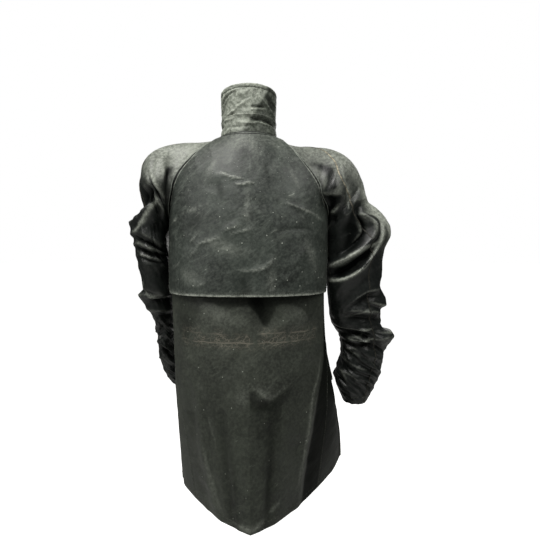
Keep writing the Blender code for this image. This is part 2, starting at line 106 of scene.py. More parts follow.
CAPE_HALF_WIDTH = 0.185   # that the cape's edge and stitching are measured with
COLLAR_PACE = 0.00125     # round the collar, for each degree
# The left raglan seam is seen more from the side, and is drawn wider
RAGLAN_WELTS = {"left": 0.0085, "right": 0.0055}
BOTH_SIDES = (("left", 1), ("right", -1))

# The lengths that down and across stand for, along and round a piece
BODY_LENGTHS = (0.67, 0.29)
SLEEVE_LENGTHS = (0.36, 0.44)

# How finely the pieces are cut into faces
UPPER_ROWS, CAPE_ROWS, LOWER_ROWS = 96, 36, 108
BACK_COLUMNS, FRONT_COLUMNS, OVERLAP_COLUMNS = 116, 46, 12
CAPE_GRID = 58, 58, 158    # rows above and below the underarm, and columns
SLEEVE_ROWS, SLEEVE_COLUMNS, SLEEVE_FRONT_COLUMNS = 220, 78, 48
COLLAR_COLUMNS, FALL_ROWS, STAND_ROWS = 260, 44, 22
BUTTON_SIDES, CORD_SIDES = 72, 8
WELT_COLUMNS = 9

# The body's sections. The left and right sides are half widths, and y and z are where a section
# crosses the sides, the centre back and the centre front. A power of 2 is an ellipse, and a
# power near 1 is almost straight from the centre to the side.
SIDES = (
    # down  left    right   left y  right y  z
    (0.00, 0.0740, 0.0700, 0.000, 0.000, -0.0065),
    (0.12, 0.1100, 0.1100, 0.000, 0.000, -0.0130),
    (0.25, 0.1500, 0.1500, 0.000, 0.000, -0.0280),
    (0.40, 0.1800, 0.1800, 0.000, 0.000, -0.0510),
    (0.55, 0.1980, 0.1980, 0.000, 0.000, -0.0780),
    (0.70, 0.2050, 0.2050, 0.000, 0.000, -0.1100),
    (0.85, 0.2060, 0.2050, 0.000, 0.000, -0.1500),
    (1.00, 0.2030, 0.2010, 0.000, 0.000, -0.2150),
    (1.15, 0.2020, 0.1960, 0.000, 0.000, -0.3160),
    (1.30, 0.2000, 0.1940, 0.000, 0.000, -0.4160),
    (1.45, 0.1970, 0.1990, 0.000, 0.000, -0.5160),
    (1.60, 0.1960, 0.2170, 0.000, -0.010, -0.6150),
    (1.75, 0.1920, 0.2420, 0.000, -0.035, -0.7160),
    (1.90, 0.1880, 0.2600, -0.002, -0.070, -0.8170),
    (2.00, 0.1850, 0.2680, -0.004, -0.095, -0.8880),
)
DEPTHS = (
    # down  back y  back z   front y  front z  back power  front power
    (0.00, 0.066, 0.000, -0.075, -0.050, 2.00, 2.00),
    (0.12, 0.078, -0.022, -0.081, -0.067, 2.00, 2.00),
    (0.25, 0.090, -0.047, -0.088, -0.086, 2.00, 2.00),
    (0.40, 0.102, -0.078, -0.098, -0.109, 2.00, 2.00),
    (0.55, 0.112, -0.108, -0.108, -0.132, 2.00, 2.00),
    (0.70, 0.120, -0.138, -0.117, -0.156, 2.00, 2.00),
    (0.85, 0.127, -0.172, -0.125, -0.180, 2.00, 2.00),
    (1.00, 0.131, -0.215, -0.132, -0.215, 2.00, 2.00),
    (1.15, 0.133, -0.316, -0.142, -0.316, 2.00, 2.00),
    (1.30, 0.134, -0.416, -0.146, -0.416, 1.95, 2.00),
    (1.45, 0.138, -0.516, -0.149, -0.516, 1.80, 1.95),
    (1.60, 0.153, -0.618, -0.160, -0.615, 1.55, 1.90),
    (1.75, 0.172, -0.722, -0.172, -0.716, 1.36, 1.85),
    (1.90, 0.196, -0.829, -0.186, -0.817, 1.22, 1.80),
    (2.00, 0.214, -0.902, -0.195, -0.888, 1.16, 1.75),
)
RAGLAN = (
    # down  degrees from the centre back to the back's left and right raglan seams and the fronts'
    (0.00, 70, 70, 118),
    (0.12, 54.0, 50.0, 131),
    (0.25, 51.0, 44.0, 135.6),
    (0.40, 52.0, 44.0, 135.1),
    (0.55, 56.0, 47.5, 132.1),
    (0.70, 61.5, 53.5, 126.4),
    (0.85, 69.0, 61.5, 115.0),
    (1.00, 90, 90, 90),
)
SIDE_SEAM = (
    # down  degrees from the centre back to the left and the right side seam
    (1.00, 90, 90),
    (1.15, 90, 89),
    (1.30, 86, 86),
    (1.45, 80, 78),
    (1.60, 70, 67),
    (1.80, 61, 56),
    (2.00, 55, 50),
)

# The sleeves' edges along the outside of the arm, and under it from the underarm down. x is
# measured out from the coat's centre on either side.
SLEEVE_OVER = {
    "left": (
        # down  x      y       z
        (0.12, 0.0950, -0.0030, -0.0080),
        (0.25, 0.1250, 0.000, -0.0120),
        (0.40, 0.1650, 0.000, -0.0140),
        (0.55, 0.2050, 0.000, -0.0210),
        (0.70, 0.2370, 0.000, -0.0350),
        (0.82, 0.2590, 0.000, -0.0530),
        (0.92, 0.2705, 0.000, -0.0750),
        (1.00, 0.2740, -0.002, -0.1000),
        (1.15, 0.2700, -0.006, -0.1550),
        (1.30, 0.2840, -0.010, -0.2150),
        (1.45, 0.2930, -0.018, -0.2800),
        (1.60, 0.2860, -0.030, -0.3450),
        (1.80, 0.2700, -0.050, -0.4220),
        (2.00, 0.2570, -0.075, -0.4900),
        (2.20, 0.2560, -0.100, -0.5600),
        (2.40, 0.2500, -0.125, -0.6250),
        (2.60, 0.2300, -0.145, -0.6720),
    ),
    "right": (
        (0.12, 0.0930, -0.0030, -0.0130),
        (0.25, 0.1250, 0.000, -0.0190),
        (0.40, 0.1650, 0.000, -0.0200),
        (0.55, 0.2060, 0.000, -0.0240),
        (0.70, 0.2400, 0.000, -0.0390),
        (0.82, 0.2640, 0.000, -0.0570),
        (0.92, 0.2790, 0.000, -0.0790),
        (1.00, 0.2900, 0.000, -0.1050),
        (1.15, 0.3080, 0.000, -0.1600),
        (1.22, 0.3400, -0.001, -0.1850),
        (1.30, 0.3600, -0.002, -0.2120),
        (1.38, 0.3660, -0.004, -0.2420),
        (1.45, 0.3530, -0.006, -0.2700),
        (1.60, 0.3460, -0.012, -0.3400),
        (1.80, 0.3500, -0.024, -0.4200),
        (2.00, 0.3600, -0.038, -0.4950),
        (2.20, 0.3700, -0.050, -0.5650),
        (2.40, 0.3630, -0.060, -0.6350),
        (2.60, 0.3310, -0.066, -0.7050),
    ),
}
SLEEVE_UNDER = {
    "left": (
        (1.00, 0.203, 0.000, -0.215),
        (1.15, 0.212, -0.010, -0.255),
        (1.30, 0.208, -0.020, -0.308),
        (1.45, 0.207, -0.031, -0.362),
        (1.60, 0.208, -0.046, -0.415),
        (1.80, 0.206, -0.073, -0.470),
        (2.00, 0.200, -0.100, -0.520),
        (2.20, 0.193, -0.125, -0.580),
        (2.40, 0.184, -0.150, -0.640),
        (2.60, 0.172, -0.168, -0.690),
    ),
    "right": (
        (1.00, 0.201, 0.000, -0.215),
        (1.15, 0.2045, -0.004, -0.260),
        (1.30, 0.2025, -0.006, -0.318),
        (1.45, 0.2070, -0.014, -0.380),
        (1.60, 0.213, -0.020, -0.430),
        (1.80, 0.222, -0.032, -0.478),
        (2.00, 0.250, -0.044, -0.525),
        (2.20, 0.257, -0.054, -0.580),
        (2.40, 0.239, -0.062, -0.640),
        (2.60, 0.264, -0.066, -0.710),
    ),
}
SLEEVE_SWELL = (
    # down  how far a section's halves are driven out to the back and to the front
    (0.00, 0.040, 0.040),
    (0.12, 0.060, 0.060),
    (0.25, 0.085, 0.085),
    (0.40, 0.120, 0.120),
    (0.55, 0.155, 0.150),
    (0.70, 0.185, 0.180),
    (0.85, 0.215, 0.210),
    (1.00, 0.250, 0.245),
    (1.30, 0.260, 0.250),
    (1.80, 0.235, 0.235),
    (2.20, 0.205, 0.205),
    (2.60, 0.175, 0.175),
)
COLLAR = (
    # height  how far out from the neck seam's ring
    (0.000, 0.0000),
    (0.014, -0.0010),
    (0.034, -0.0034),
    (0.043, -0.0026),
    (0.056, -0.0030),
    (0.090, -0.0016),
    (0.115, -0.0010),
)
# Creases, each along a line of its own. above and below are how far it falls away on its upper
# and lower side in millimetres, and round is how blunt its crest is, from 0 to 14. Its line is a
# row of points (down, across, height in millimetres), and a height under 0 is a hollow.
LEFT_SLEEVE_CREASES = (
    (4, 4, 2, ((1.36, 0.45, 0), (1.35, 0.33, -5), (1.31, 0.22, -6), (1.26, 0.06, -3))),
    (4, 4, 2, ((1.42, 0.45, 0), (1.40, 0.30, -5), (1.35, 0.20, -6), (1.28, 0.05, -3))),
    (4, 4, 2, ((1.47, 0.45, 0), (1.44, 0.30, -4), (1.41, 0.22, -5), (1.32, 0.05, -3))),
    (5, 4, 2, ((0.86, 0.30, 0), (0.89, 0.22, -5), (0.915, 0.15, -6), (0.95, 0.08, 0))),
    (14, 22, 6, ((1.00, 0.46, 0), (1.07, 0.47, 7), (1.15, 0.48, 9), (1.22, 0.50, 6), (1.28, 0.50, 0))),
    # above below round  line
    (20, 17, 5, ((0.56, 0.24, 0), (0.66, 0.2, 5), (0.74, 0.13, 7), (0.86, 0.13, 6),
                 (0.96, 0.1, 0))),
    (19, 19, 8, ((0.62, 0.1, 0), (0.74, 0.07, -5), (0.88, 0.06, -6), (1.02, 0.05, 0))),
    (22, 22, 9, ((0.64, 0.34, 0), (0.76, 0.27, -5), (0.86, 0.23, -3), (0.92, 0.2, 0))),
    (38, 9, 3, ((1.04, 0.4, 0), (1, 0.32, 8), (0.91, 0.24, 13), (0.88, 0.17, 9), (0.86, 0.12, 0))),
    (14, 17, 5, ((0.94, 0.3, 0), (0.97, 0.25, -11), (1, 0.19, -13), (1.04, 0.12, -5),
                 (1.06, 0.08, 0))),
    (5, 18, 1, ((0.9, 0.17, 0), (0.96, 0.2, 8), (1.06, 0.25, 12), (1.16, 0.31, 15),
                (1.25, 0.38, 19), (1.31, 0.46, 22), (1.34, 0.55, 12), (1.35, 0.64, 0))),
    (18, 9, 6, ((1, 0.26, 0), (1.05, 0.30, -12), (1.12, 0.36, -17), (1.18, 0.43, -12),
                (1.22, 0.53, -6), (1.23, 0.62, 0))),
    (10, 13, 2, ((0.94, 0.2, 0), (0.95, 0.15, 8), (0.93, 0.1, 7), (0.94, 0.04, 0))),
    (20, 20, 8, ((1.08, 0.04, 0), (1.12, 0.12, -6), (1.2, 0.2, -7), (1.26, 0.24, 0))),
    (12, 4, 1, ((1.42, 0.62, 0), (1.4, 0.52, 5), (1.365, 0.44, 9), (1.32, 0.36, 4), (1.29, 0.28, 7),
                (1.25, 0.16, 3), (1.2, 0.05, 0))),
    (4, 4, 4, ((1.4, 0.44, 0), (1.37, 0.37, -6), (1.33, 0.28, -3), (1.28, 0.16, -6),
               (1.24, 0.06, 0))),
    (11, 4, 1, ((1.46, 0.56, 0), (1.43, 0.46, 7), (1.40, 0.39, 3.5), (1.355, 0.27, 7), (1.30, 0.15, 2.5),
                (1.25, 0.04, 0))),
    (4, 4, 4, ((1.455, 0.42, 0), (1.42, 0.33, -3), (1.375, 0.22, -6), (1.32, 0.1, -2),
               (1.28, 0.03, 0))),
    (4, 15, 1, ((1.50, 0.50, 0), (1.475, 0.42, 3), (1.435, 0.32, 5.5), (1.40, 0.24, 2), (1.35, 0.11, 5),
               (1.31, 0.03, 0))),
    (5, 8, 1, ((1.30, 0.34, 0), (1.335, 0.27, 4), (1.36, 0.18, 5), (1.40, 0.08, 0))),
    (5, 5, 3, ((1.24, 0.22, 0), (1.30, 0.20, -5), (1.35, 0.13, -4), (1.37, 0.08, 0))),
    (26, 22, 6, ((1.44, 0.32, 0), (1.49, 0.28, 4), (1.54, 0.24, 5), (1.58, 0.17, 3),
                 (1.6, 0.1, 0))),
    (6, 36, 8, ((1.78, 0.68, 0), (1.75, 0.57, 13), (1.73, 0.46, 21), (1.71, 0.38, 15),
                 (1.67, 0.28, 7), (1.60, 0.18, 0))),
    (9, 4, 1, ((1.72, 0.36, 0), (1.7, 0.3, 7), (1.66, 0.22, 10), (1.6, 0.12, 8), (1.56, 0.04, 0))),
    (8, 10, 4, ((1.7, 0.4, 0), (1.68, 0.33, -9), (1.64, 0.24, -8), (1.6, 0.14, 0))),
    (20, 12, 4, ((1.72, 0.44, 0), (1.68, 0.36, 6), (1.62, 0.24, 9), (1.55, 0.1, 6),
                 (1.53, 0.03, 0))),
    (12, 17, 5, ((1.76, 0.42, 0), (1.73, 0.34, -7), (1.68, 0.24, -9), (1.61, 0.12, -7),
                 (1.58, 0.05, 0))),
    (10, 13, 2, ((1.86, 0.46, 0), (1.82, 0.38, 7), (1.79, 0.29, 7), (1.75, 0.18, 6),
                 (1.69, 0.06, 4), (1.66, 0.02, 0))),
    (9, 10, 3, ((1.86, 0.36, 0), (1.83, 0.27, -6), (1.79, 0.16, -6), (1.74, 0.06, 0))),
    (10, 10, 2, ((1.78, 0.2, 0), (1.86, 0.25, 5), (1.94, 0.33, 7), (2.02, 0.43, 3.1),
                 (2.06, 0.54, 1.8), (2.06, 0.62, 0))),
    (12, 12, 2, ((2, 0.48, 0), (2.03, 0.41, 1.8), (2.07, 0.32, 6), (2.09, 0.24, 4),
                 (2.1, 0.16, 0))),
    (10, 10, 4, ((1.92, 0.22, 0), (1.98, 0.29, -5), (2.02, 0.34, -5), (2.05, 0.4, 0))),
    (10, 12, 2, ((2.16, 0.56, 0), (2.13, 0.44, 2.7), (2.1, 0.34, 5), (2.13, 0.25, 6),
                 (2.18, 0.16, 0))),
    (10, 10, 4, ((2.17, 0.42, 0), (2.16, 0.34, -5), (2.19, 0.26, -5), (2.24, 0.2, 0))),
    (12, 12, 2, ((2.28, 0.54, 0), (2.27, 0.44, 2.2), (2.25, 0.34, 5), (2.29, 0.26, 5),
                 (2.34, 0.18, 0))),
    (12, 12, 2, ((2.36, 0.48, 0), (2.38, 0.38, 2.2), (2.42, 0.32, 5), (2.44, 0.24, 3),
                 (2.46, 0.18, 0))),
    (12, 12, 3, ((2.5, 0.46, 0), (2.5, 0.36, 3), (2.53, 0.26, 4), (2.56, 0.18, 0))),
    # round the front of the arm
    (20, 17, 5, ((0.62, 0.72, 0), (0.76, 0.78, 6), (0.9, 0.84, 6), (1, 0.9, 0))),
    (32, 12, 3, ((1, 0.58, 0), (0.98, 0.68, 9), (0.94, 0.78, 11), (0.92, 0.88, 0))),
    (13, 16, 5, ((1.02, 0.64, 0), (1.04, 0.72, -9), (1.03, 0.82, -9), (1, 0.9, 0))),
    (12, 29, 2, ((1, 0.9, 0), (1.08, 0.82, 8), (1.16, 0.72, 13), (1.23, 0.62, 11),
                 (1.26, 0.54, 0))),
    (10, 20, 2, ((1.1, 0.95, 0), (1.18, 0.86, 8), (1.27, 0.76, 10), (1.36, 0.66, 6),
                 (1.4, 0.58, 0))),
    (9, 14, 2, ((1.26, 0.97, 0), (1.3, 0.88, 7), (1.37, 0.78, 8), (1.44, 0.68, 6), (1.48, 0.6, 0))),
    (12, 12, 4, ((1.24, 0.9, 0), (1.31, 0.81, -6), (1.39, 0.7, -6), (1.43, 0.62, 0))),
    (12, 17, 3, ((1.46, 0.92, 0), (1.5, 0.82, 7), (1.56, 0.72, 7), (1.62, 0.62, 0))),
    (17, 12, 3, ((1.58, 0.96, 0), (1.62, 0.86, 8), (1.68, 0.76, 11), (1.73, 0.66, 9),
                 (1.76, 0.56, 0))),
    (12, 14, 4, ((1.64, 0.9, 0), (1.69, 0.8, -7), (1.75, 0.7, -7), (1.79, 0.6, 0))),
    (10, 13, 2, ((1.76, 0.95, 0), (1.79, 0.84, 6), (1.84, 0.74, 7), (1.9, 0.64, 5),
                 (1.94, 0.55, 0))),
    (10, 12, 2, ((1.92, 0.92, 0), (1.95, 0.82, 6), (2, 0.72, 6), (2.02, 0.62, 0))),
    (10, 12, 2, ((2.06, 0.6, 0), (2.1, 0.7, 6), (2.16, 0.8, 6), (2.2, 0.92, 0))),
    (12, 12, 2, ((2.24, 0.92, 0), (2.26, 0.82, 5), (2.32, 0.72, 6), (2.34, 0.62, 0))),
    (12, 12, 3, ((2.44, 0.6, 0), (2.46, 0.7, 4), (2.5, 0.8, 4), (2.54, 0.9, 0))),
)
RIGHT_SLEEVE_CREASES = (
    # above below round  line
    (17, 17, 6, ((0.86, 0.02, 0), (0.9, 0.07, -9), (0.93, 0.13, -8), (0.96, 0.18, 0))),
    (26, 9, 3, ((0.8, 0.02, 0), (0.84, 0.07, 7), (0.87, 0.13, 9), (0.91, 0.17, 6), (0.95, 0.2, 0))),
    (9, 13, 2, ((0.94, 0.02, 0), (0.96, 0.07, 7), (0.97, 0.12, 7), (0.95, 0.18, 0))),
    (13, 13, 5, ((0.96, 0.03, 0), (0.99, 0.08, -8), (1.03, 0.11, -6), (1.08, 0.12, 0))),
    (23, 20, 6, ((0.78, 0.12, 0), (0.88, 0.15, 6), (0.96, 0.19, 8), (1.06, 0.23, 6),
                 (1.12, 0.26, 0))),
    (32, 7, 2, ((1.04, 0.17, 0), (1.09, 0.23, 7), (1.05, 0.28, 9), (1.08, 0.33, 8), (1.11, 0.4, 6),
                (1.12, 0.48, 0))),
    (13, 13, 5, ((0.96, 0.02, 0), (1.04, 0.07, 6), (1.14, 0.03, 7), (1.24, 0.04, 5),
                 (1.3, 0.06, 0))),
    (16, 12, 8, ((1.1, 0.18, 0), (1.16, 0.2, -5), (1.21, 0.22, -8), (1.26, 0.17, -6),
                 (1.27, 0.08, -3), (1.27, 0.03, 0))),
    (5, 6, 3, ((1.1, 0.3, 0), (1.15, 0.285, -9), (1.21, 0.28, -14), (1.255, 0.26, -13),
               (1.28, 0.2, -7), (1.285, 0.13, 0))),
    (9, 12, 5, ((1.08, 0.27, 0), (1.14, 0.29, 6), (1.19, 0.315, 12), (1.25, 0.325, 16),
                 (1.31, 0.29, 17), (1.33, 0.22, 17), (1.33, 0.15, 15), (1.33, 0.07, 10),
                 (1.32, 0.02, 0))),
    (11, 9, 5, ((1.36, 0.33, 0), (1.385, 0.26, -13), (1.395, 0.18, -17), (1.385, 0.1, -13),
                (1.37, 0.05, 0))),
    (5, 30, 1, ((1.26, 0.4, 0), (1.33, 0.35, 7), (1.4, 0.3, 12), (1.46, 0.24, 15),
                (1.455, 0.16, 12), (1.42, 0.07, 8), (1.39, 0.02, 0))),
    (18, 24, 8, ((1.14, 0.4, 0), (1.22, 0.44, 2), (1.31, 0.46, 3), (1.42, 0.43, 3),
                 (1.5, 0.38, 0))),
    (20, 20, 8, ((1.46, 0.36, 0), (1.54, 0.42, 6), (1.6, 0.44, 6), (1.68, 0.42, 0))),
    (26, 32, 9, ((1.44, 0.3, 0), (1.53, 0.25, -5), (1.61, 0.18, -6), (1.7, 0.11, 0))),
    (23, 9, 3, ((1.7, 0.12, 0), (1.66, 0.2, 5), (1.64, 0.28, 8), (1.67, 0.36, 8), (1.7, 0.44, 0))),
    (10, 14, 4, ((1.7, 0.18, 0), (1.69, 0.27, -8), (1.72, 0.35, -8), (1.76, 0.42, 0))),
    (36, 7, 14, ((1.7, 0.28, 0), (1.77, 0.36, 8), (1.82, 0.44, 17), (1.85, 0.53, 13),
                 (1.87, 0.66, 0))),
    (10, 12, 2, ((1.7, 0.12, 0), (1.75, 0.22, 6), (1.81, 0.3, 9), (1.86, 0.4, 4), (1.88, 0.46, 0))),
    (9, 10, 3, ((1.74, 0.1, 0), (1.8, 0.19, -6), (1.86, 0.28, -8), (1.91, 0.38, -8),
                (1.94, 0.48, 0))),
    (9, 10, 2, ((1.8, 0.03, 0), (1.86, 0.1, 7), (1.91, 0.18, 7), (1.95, 0.27, 7), (1.97, 0.36, 0))),
    (10, 10, 4, ((1.84, 0.02, 0), (1.9, 0.09, -7), (1.95, 0.16, -9), (1.99, 0.24, -8),
                 (2.01, 0.32, 0))),
    (12, 40, 14, ((2.0, 0.3, 0), (2.02, 0.37, 12), (2.045, 0.45, 27), (2.05, 0.55, 24),
                  (2.05, 0.7, 0))),
    (10, 10, 2, ((1.97, 0.08, 0), (2.01, 0.15, 7), (2.04, 0.24, 8), (2.05, 0.33, 8),
                 (2.06, 0.42, 5), (2.08, 0.5, 0))),
    (12, 14, 4, ((2.06, 0.06, 0), (2.075, 0.14, -6), (2.09, 0.26, -9), (2.13, 0.36, -9),
                 (2.18, 0.46, 0))),
    (10, 12, 2, ((2.06, 0.01, 0), (2.09, 0.07, 6), (2.1, 0.14, 6), (2.14, 0.2, 0))),
    (13, 13, 2, ((2.14, 0.02, 0), (2.2, 0.07, 6), (2.25, 0.14, 7), (2.3, 0.24, 6),
                 (2.33, 0.33, 0))),
    (13, 13, 4, ((2.2, 0.02, 0), (2.26, 0.08, -6), (2.31, 0.16, -6), (2.35, 0.26, 0))),
    (13, 14, 2, ((2.12, 0.18, 0), (2.19, 0.25, 6), (2.28, 0.32, 6), (2.37, 0.41, 2.2),
                 (2.42, 0.48, 0))),
    (13, 13, 2, ((2.3, 0, 0), (2.32, 0.06, 5), (2.35, 0.16, 7), (2.41, 0.25, 5), (2.46, 0.33, 0))),
    (13, 13, 2, ((2.38, 0.03, 0), (2.43, 0.1, 5), (2.49, 0.17, 6), (2.54, 0.24, 0))),
    (13, 13, 3, ((2.46, 0.3, 0), (2.49, 0.38, 1.8), (2.54, 0.46, 0))),
    # round the front of the arm
    (22, 17, 5, ((0.7, 0.8, 0), (0.8, 0.84, 6), (0.92, 0.87, 6), (1.02, 0.9, 0))),
    (29, 9, 3, ((1.1, 0.5, 0), (1.08, 0.6, 8), (1.05, 0.7, 9), (1.06, 0.8, 7), (1.02, 0.9, 0))),
    (14, 20, 3, ((1.06, 0.92, 0), (1.16, 0.84, 9), (1.25, 0.74, 14), (1.3, 0.64, 12),
                 (1.28, 0.54, 6), (1.24, 0.46, 0))),
    (13, 14, 5, ((1.14, 0.92, 0), (1.24, 0.82, -8), (1.32, 0.72, -9), (1.36, 0.62, -5),
                 (1.36, 0.54, 0))),
    (10, 26, 2, ((1.26, 0.97, 0), (1.34, 0.88, 8), (1.42, 0.78, 12), (1.46, 0.68, 10),
                 (1.46, 0.58, 5), (1.44, 0.48, 0))),
    (13, 13, 5, ((1.44, 0.9, 0), (1.5, 0.8, -6), (1.53, 0.7, -7), (1.54, 0.6, 0))),
    (20, 10, 3, ((1.58, 0.96, 0), (1.62, 0.86, 7), (1.66, 0.76, 9), (1.68, 0.66, 8),
                 (1.68, 0.56, 0))),
    (12, 12, 3, ((1.7, 0.96, 0), (1.74, 0.86, 7), (1.8, 0.76, 9), (1.84, 0.66, 9),
                 (1.87, 0.56, 0))),
    (12, 12, 4, ((1.76, 0.92, 0), (1.81, 0.82, -7), (1.87, 0.72, -8), (1.91, 0.62, 0))),
    (12, 12, 2, ((1.86, 0.96, 0), (1.9, 0.86, 7), (1.96, 0.76, 9), (2, 0.66, 8), (2.02, 0.58, 0))),
    (12, 13, 4, ((2, 0.9, 0), (2.04, 0.8, -7), (2.1, 0.7, -8), (2.13, 0.6, 0))),
    (12, 12, 2, ((2.08, 0.96, 0), (2.12, 0.86, 6), (2.18, 0.76, 7), (2.2, 0.66, 0))),
    (13, 13, 2, ((2.22, 0.6, 0), (2.27, 0.7, 6), (2.33, 0.8, 6), (2.36, 0.92, 0))),
    (13, 13, 2, ((2.38, 0.58, 0), (2.42, 0.68, 5), (2.48, 0.78, 5), (2.5, 0.9, 0))),
)
BACK_CREASES = (
    # above below round  line
    (26, 30, 14, ((1.27, 0.70, 0), (1.34, 0.52, 4), (1.42, 0.46, 4), (1.56, 0.46, 3), (1.76, 0.48, 0))),
    (26, 26, 8, ((1.20, -0.06, -5), (1.28, -0.08, -6), (1.35, -0.11, -5), (1.40, -0.12, 0))),
    (20, 30, 8, ((1.27, 0.52, 0), (1.32, 0.38, 4), (1.35, 0.24, 5), (1.38, 0.12, 3), (1.42, 0.02, 0))),
    (20, 30, 8, ((1.27, -0.62, 0), (1.32, -0.50, 4), (1.35, -0.38, 5), (1.38, -0.26, 3), (1.42, -0.18, 0))),
    (18, 26, 8, ((1.50, 0.10, 0), (1.57, 0.02, 4), (1.615, -0.14, 5), (1.58, -0.30, 4), (1.50, -0.42, 0))),
    (16, 16, 12, ((1.58, 0.04, 0), (1.63, -0.10, -5), (1.63, -0.24, -5), (1.60, -0.34, 0))),
    (18, 22, 10, ((1.42, 0.66, 0), (1.60, 0.64, 5), (1.78, 0.72, 6), (1.92, 0.70, 5), (2.02, 0.62, 3))),
    (18, 22, 12, ((1.50, 0.44, 0), (1.66, 0.42, -4), (1.84, 0.46, -5), (2.02, 0.42, -3))),
    (24, 14, 6, ((1.50, -0.84, 0), (1.66, -0.78, 5), (1.84, -0.74, 6), (2.02, -0.74, 3))),
    (18, 22, 12, ((1.60, -0.36, 0), (1.72, -0.34, -3), (1.86, -0.36, -4), (2.02, -0.36, -2))),
    (30, 34, 14, ((1.70, 0.16, 0), (1.82, 0.14, 1.5), (1.92, 0.16, 1.5), (2.02, 0.17, 0))),
)
FRONT_CREASES = (
    # above below round  line
    (22, 24, 12, ((1.12, 0.95, 0), (1.20, 0.78, 5), (1.30, 0.60, 5), (1.38, 0.46, 0))),
    (18, 18, 10, ((1.30, 0.92, 0), (1.36, 0.74, 4), (1.44, 0.58, 4), (1.48, 0.44, 0))),
    (20, 22, 12, ((1.44, 0.56, 0), (1.60, 0.54, 5), (1.80, 0.56, 6), (2.02, 0.54, 6))),
    (20, 20, 12, ((1.56, 0.78, 0), (1.70, 0.76, -4), (1.86, 0.76, -5), (2.02, 0.76, -5))),
    (20, 20, 12, ((0.60, 0.40, 0), (0.76, 0.50, 4), (0.92, 0.66, 4), (1.04, 0.82, 0))),
)
# The storm cape's own slight swells, on the lines of the back
CAPE_CREASES = (
    # above below round  line
    (30, 40, 12, ((0.40, 0.62, 0), (0.56, 0.44, 2.4), (0.70, 0.30, 0))),
    (30, 40, 12, ((0.34, -0.62, 0), (0.50, -0.46, 2.4), (0.64, -0.34, 0))),
    (10, 7, 2, ((1.065, 0.22, 0), (1.045, 0.165, 2.2), (1.03, 0.08, 1.9), (1.02, 0.01, 0))),
    (6, 7, 1, ((1.063, 0.15, 0), (1.055, 0.11, 2.5), (1.045, 0.04, 2.7), (1.038, -0.05, 0))),
    (6, 7, 2, ((1.058, 0.14, 0), (1.050, 0.10, -1.4), (1.041, 0.03, -1.4), (1.035, -0.04, 0))),
    (6, 7, 1, ((1.088, 0.47, 0), (1.072, 0.43, 2.4), (1.045, 0.36, 0))),
    (6, 9, 2, ((1.100, 0.42, 0), (1.088, 0.38, 1.9), (1.074, 0.26, 2.2), (1.057, 0.12, 0))),
    (12, 16, 2, ((0.54, 0.36, 0), (0.567, 0.31, 2), (0.61, 0.18, 2.5), (0.62, 0.04, 0))),
    (12, 14, 2, ((0.70, 0.16, 0), (0.69, 0.10, 1.9), (0.67, -0.02, 1.7), (0.66, -0.06, 0))),
    (6, 7, 2, ((1.055, -0.18, 0), (1.040, -0.30, -1.5), (1.036, -0.42, -1.7), (1.044, -0.55, 0))),
    (6, 8, 1, ((1.168, 0.14, 0), (1.175, 0.02, 2), (1.165, -0.11, 2.5), (1.135, -0.19, 0))),
    (6, 7, 1, ((1.172, -0.07, 0), (1.150, -0.13, 2), (1.105, -0.22, 0))),
    (12, 14, 6, ((1.180, -0.26, 0), (1.150, -0.34, 2.5), (1.110, -0.44, 2.5), (1.075, -0.53, 0))),
    (8, 12, 5, ((1.225, -0.19, 0), (1.190, -0.32, 2), (1.140, -0.47, 0))),
    (6, 9, 2, ((1.185, 0.76, 0), (1.160, 0.62, 2), (1.120, 0.48, 0))),
    (6, 7, 1, ((1.145, 0.50, 0), (1.120, 0.44, 1.9), (1.090, 0.36, 0))),
    (6, 7, 1, ((1.235, 0.42, 0), (1.222, 0.36, 1.7), (1.214, 0.30, 0))),
    (6, 8, 1, ((1.02, 0.80, 0), (1.005, 0.70, 1.7), (0.985, 0.62, 0))),
    (14, 16, 5, ((0.84, -0.30, 0), (0.93, -0.48, 1.6), (1.02, -0.72, 0))),
    (14, 16, 5, ((0.98, 0.62, 0), (0.94, 0.50, 1.4), (0.88, 0.36, 0))),
    (26, 26, 14, ((1.04, 0.10, 0), (1.16, 0.05, -1.8), (1.27, 0.02, -2.6))),
    (22, 22, 14, ((1.12, -0.16, 0), (1.20, -0.12, 1.4), (1.27, -0.10, 2.0))),
)
